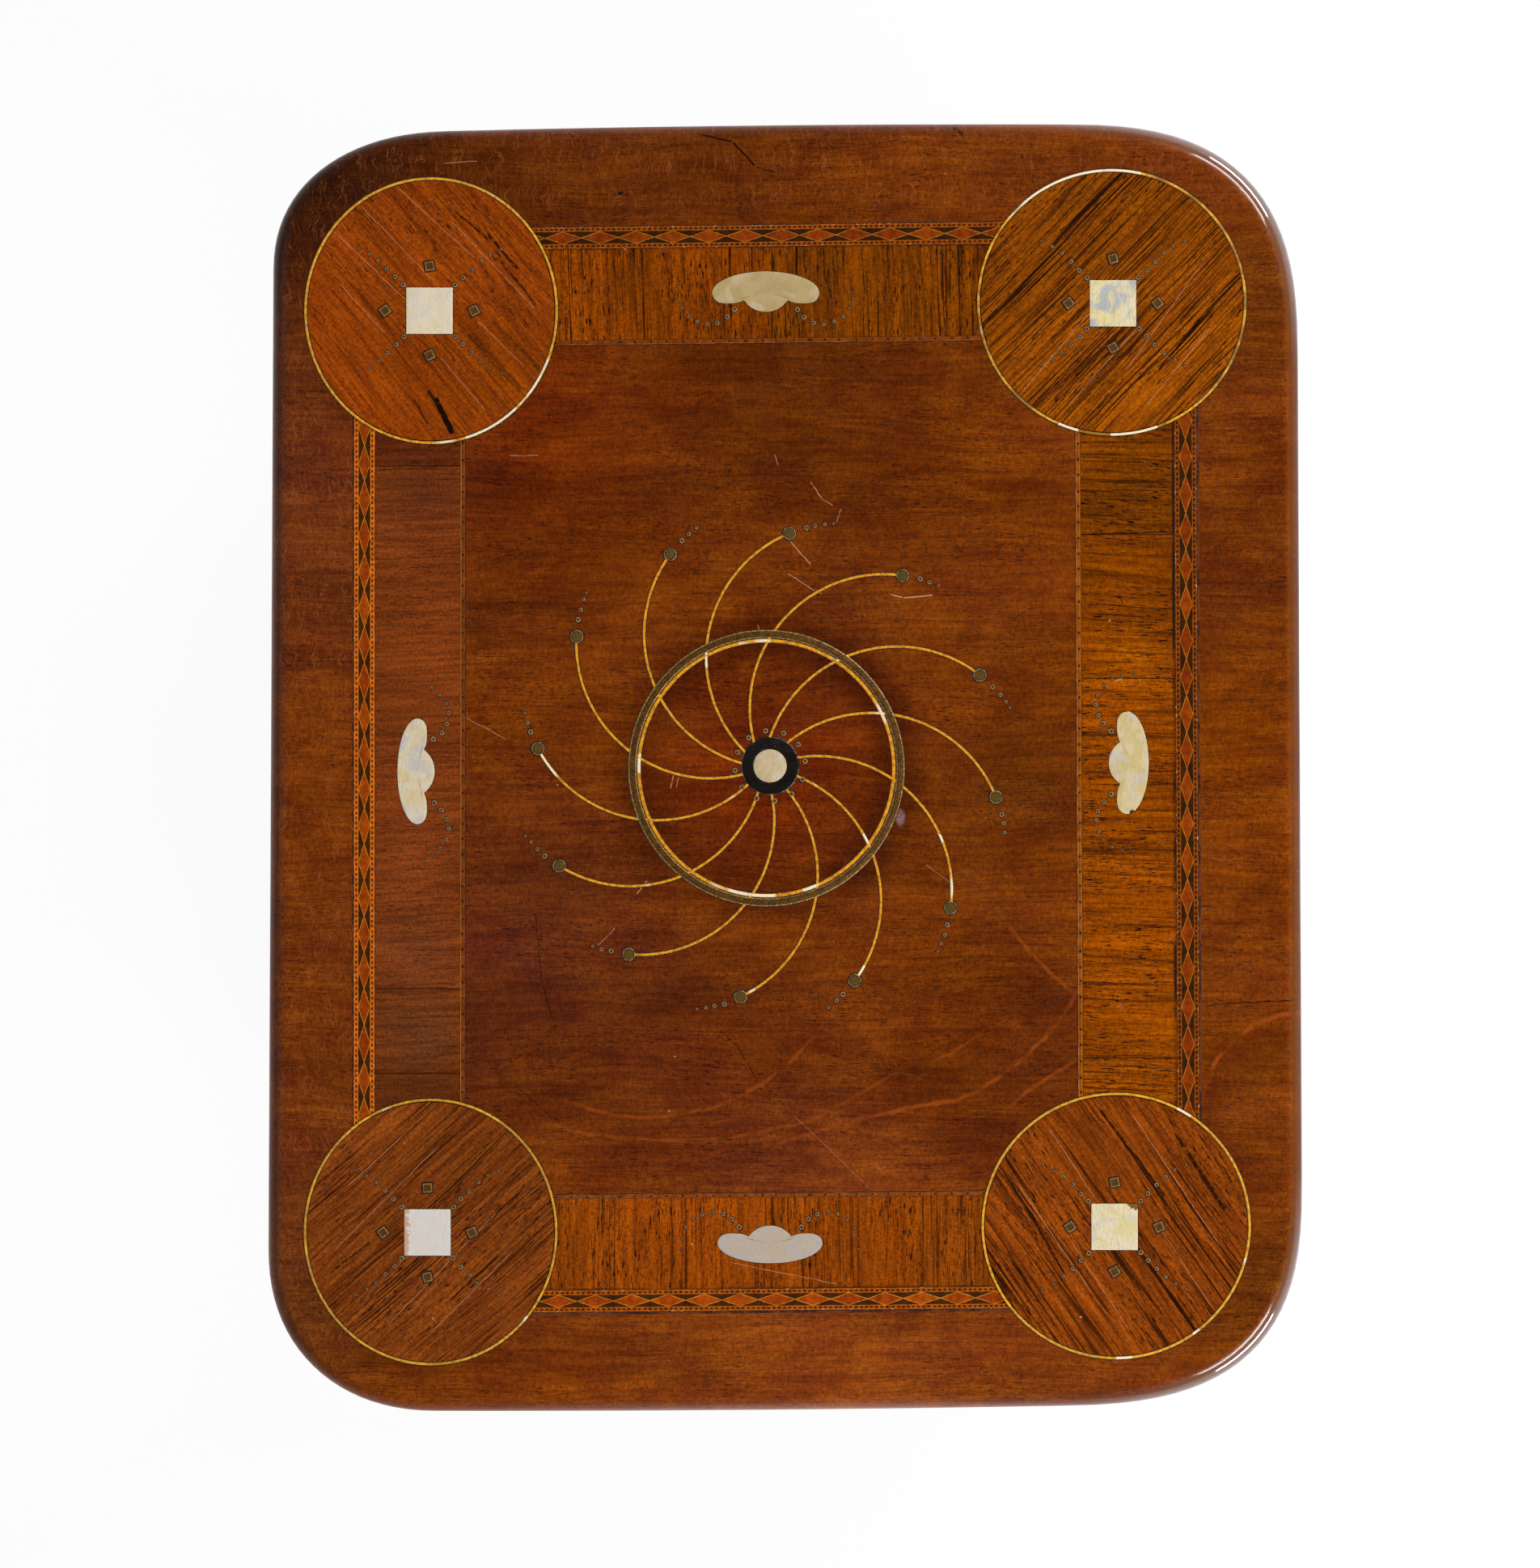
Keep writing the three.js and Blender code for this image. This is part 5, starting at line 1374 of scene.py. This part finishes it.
def legSkin(signX, signY):
    # a rounded square at every height: upright outside, tapering inside below the knee, with the foot's arris rolled
    z = np.concatenate([[0, 0.2, 0.6, 1.2], np.linspace(30, base["knee"], 12), [610, 645, base["legTop"]]])
    width = base["footSize"] + (base["legSize"] - base["footSize"]) * np.minimum(1, z / base["knee"])
    roll = base["footRound"] * (1 - np.sqrt(np.clip(1 - (1 - np.minimum(z / base["footRound"], 1)) ** 2, 0, 1)))
    t = (np.repeat(np.arange(4), 5) + np.tile(np.linspace(0, 1, 5), 4)) * math.pi / 2
    cornerX, cornerY = (np.repeat(part, 5) for part in ([1, -1, -1, 1], [1, 1, -1, -1]))
    half = (width / 2 - roll)[:, None]
    x = signX * (base["outerX"] - width[:, None] / 2 + cornerX * (half - base["arris"]) + base["arris"] * np.cos(t))
    y = signY * (base["outerY"] - width[:, None] / 2 + cornerY * (half - base["arris"]) + base["arris"] * np.sin(t))
    return skin(np.stack([x, y, np.broadcast_to(z[:, None], x.shape)], -1))


for end, signY in (("back", 1), ("front", -1)):
    for side, signX in (("left", -1), ("right", 1)):
        makePiece("leg_%s_%s_fine" % (end, side), [legSkin(signX, signY)], uprightWood,
                  ["leg_%s_%s" % (end, side)], crease=40)


def apronSkin(face, reach, turn):
    # the section (depth in, height) is a board with eased arrises and a bead below a quirk, carried straight along
    r, out, deep, high = base["beadRadius"], base["beadProjection"], base["apronThickness"], base["apronHeight"]
    t = np.linspace(math.pi / 2, 3 * math.pi / 2, 11)
    bead = np.stack([out * np.cos(t), r + r * np.sin(t)], -1)
    section = np.concatenate([[(deep, 0.8), (deep, high), (0, high), (0, 2 * r + 1.1), (0.8, 2 * r + 0.9),
                               (0.9, 2 * r + 0.3)], bead, [(deep - 0.8, 0)]])
    along = np.linspace(-reach, reach, 9)
    rings = np.stack([np.broadcast_to(along[:, None], (9, len(section))),
                      np.broadcast_to(section[:, 0] - face, (9, len(section))),
                      np.broadcast_to(section[:, 1] + board["height"] - board["thickness"] - high,
                                      (9, len(section)))], -1)
    rings[..., :2] = turnedTo(rings[..., :2].reshape(-1, 2), (0, 0), turn * math.pi / 2).reshape(9, -1, 2)
    return skin(rings)


legInner = {"x": base["outerX"] - base["legSize"], "y": base["outerY"] - base["legSize"]}
for side, turn, face, reach, wood in (("front", 0, base["outerY"], legInner["x"], crossWood),
                                      ("back", 2, base["outerY"], legInner["x"], crossWood),
                                      ("right", 1, base["outerX"], legInner["y"], lengthWood),
                                      ("left", 3, base["outerX"], legInner["y"], lengthWood)):
    makePiece("apron_%s_fine" % side, [apronSkin(face - base["apronReveal"], reach, turn)], wood,
              ["apron_" + side], crease=40)


def easeArrises(name, width):
    # the CAD solid's corners joined up, then rolled a little
    node = nodes[name]
    weld = node.modifiers.new("join corners", "WELD")
    weld.merge_threshold = 0.00002
    bevel = node.modifiers.new("ease arrises", "BEVEL")
    bevel.width, bevel.segments, bevel.limit_method, bevel.angle_limit = width * mm, 2, "ANGLE", math.radians(35)


for name, wood in (("end_rail_front", crossWood), ("end_rail_back", crossWood), ("shelf", lengthWood)):
    dress(name, wood)
    easeArrises(name, base["railArris"])
for end in ("back", "front"):
    for side in ("left", "right"):
        dress("corner_block_%s_%s" % (end, side), crossWood)
        easeArrises("corner_block_%s_%s" % (end, side), base["blockArris"])
print("base made")

# Studio: a pale floor, soft lights and a camera straight above

scene = bpy.context.scene
studio = {
    # azimuth anticlockwise from +X and elevation in degrees, distance and size in metres, power in watts
    "lamps": {
        "key back right": (48, 33, 2.4, (1.1, 0.55), 44.5), "key front right": (-48, 33, 2.4, (1.1, 0.55), 44.5),
        "low back right": (46, -3, 2.4, (1.1, 0.35), 23.5), "low front right": (-46, -3, 2.4, (1.1, 0.35), 23.5),
        "fill left": (180, 38, 2.8, (2.2, 2.2), 16),
    },
    "skyLow": 0.4, "skyHigh": 0.05, "floorReach": 30, "sensor": 36, "cameraHeight": 2.6, "frameHeight": 0.683,
    "cameraAt": (-0.0067, -0.0069),
}
tableTop = board["height"] * mm


def whiten(tree, kind, share, shader, output):
    # plain white takes the shader's place for this share of the rays
    white = addNode(tree, kind, {"Color": (1, 1, 1), "Strength": 1})
    blend = addNode(tree, "MixShader", {0: share, 1: Flow(shader.outputs[0]), 2: Flow(white.outputs[0])})
    fill(tree.nodes[output].inputs["Surface"], Flow(blend.outputs[0]))


def makeFloor():
    material = newMaterial("studio floor", roughness=0.8, specular=0.2)
    tree = material.node_tree
    shader = tree.nodes["Principled BSDF"]
    speckle = noise(placeOf(material) * 0.01, 2)
    fill(shader.inputs["Base Color"], mix(speckle, tone(236, 236, 236), tone(244, 244, 244)))
    rays = addNode(tree, "LightPath").outputs
    seen = most(Flow(rays["Is Camera Ray"]), most(Flow(rays["Is Glossy Ray"]), Flow(rays["Is Transmission Ray"])))
    whiten(tree, "Emission", seen * 0.93, shader, "Material Output")
    # a grid whose lines lie at reach times t|t|, so that its cells are small in the middle
    count = 20
    line = np.linspace(-1, 1, count + 1)
    x, y = np.meshgrid(line * abs(line), line * abs(line), indexing="ij")
    points = np.stack([x * studio["floorReach"], y * studio["floorReach"], x * 0], -1).reshape(-1, 3)
    row, column = np.meshgrid(np.arange(count), np.arange(count), indexing="ij")
    first = row * (count + 1) + column
    quads = np.stack([first, first + count + 1, first + count + 2, first + 1], -1).reshape(-1, 4)
    mesh = bpy.data.meshes.new("studio_floor")
    mesh.from_pydata(points.tolist(), [], quads.tolist())
    mesh.materials.append(material)
    floor = bpy.data.objects.new("studio_floor", mesh)
    scene.collection.objects.link(floor)


def makeSky():
    # a dim room: brighter near the horizon, dark overhead, white where the camera looks past the floor
    world = bpy.data.worlds.new("studio sky")
    world.use_nodes = True
    scene.world = world
    tree = world.node_tree
    up = split(Flow(addNode(tree, "TexCoord").outputs["Generated"]))[2]
    shade = tree.nodes["Background"]
    shade.inputs["Color"].default_value = (1, 1, 1, 1)
    fill(shade.inputs["Strength"], ramp(up, 0.15, 0.85, studio["skyLow"], studio["skyHigh"]))
    whiten(tree, "Background", Flow(addNode(tree, "LightPath").outputs["Is Camera Ray"]), shade, "World Output")


def addLight(name, azimuth, elevation, distance, size, power):
    # aimed at the middle of the top
    lamp = bpy.data.lights.new(name, "AREA")
    lamp.shape, lamp.size, lamp.size_y, lamp.energy = "RECTANGLE", size[0], size[1], power
    light = bpy.data.objects.new(name, lamp)
    scene.collection.objects.link(light)
    a, e = math.radians(azimuth), math.radians(elevation)
    way = np.array([math.cos(e) * math.cos(a), math.cos(e) * math.sin(a), math.sin(e)])
    light.location = way * distance + np.array([0, 0, tableTop])
    light.rotation_euler = (math.pi / 2 - e, 0, a + math.pi / 2)


makeFloor()
makeSky()
for name, values in studio["lamps"].items():
    addLight(name, *values)

camera = bpy.data.cameras.new("camera")
camera.sensor_width = studio["sensor"]
camera.lens = studio["sensor"] * studio["cameraHeight"] / studio["frameHeight"]
cameraObject = bpy.data.objects.new("camera", camera)
scene.collection.objects.link(cameraObject)
cameraObject.location = (*studio["cameraAt"], tableTop + studio["cameraHeight"])
scene.camera = cameraObject
scene.view_settings.view_transform = "Standard"
print("studio set")
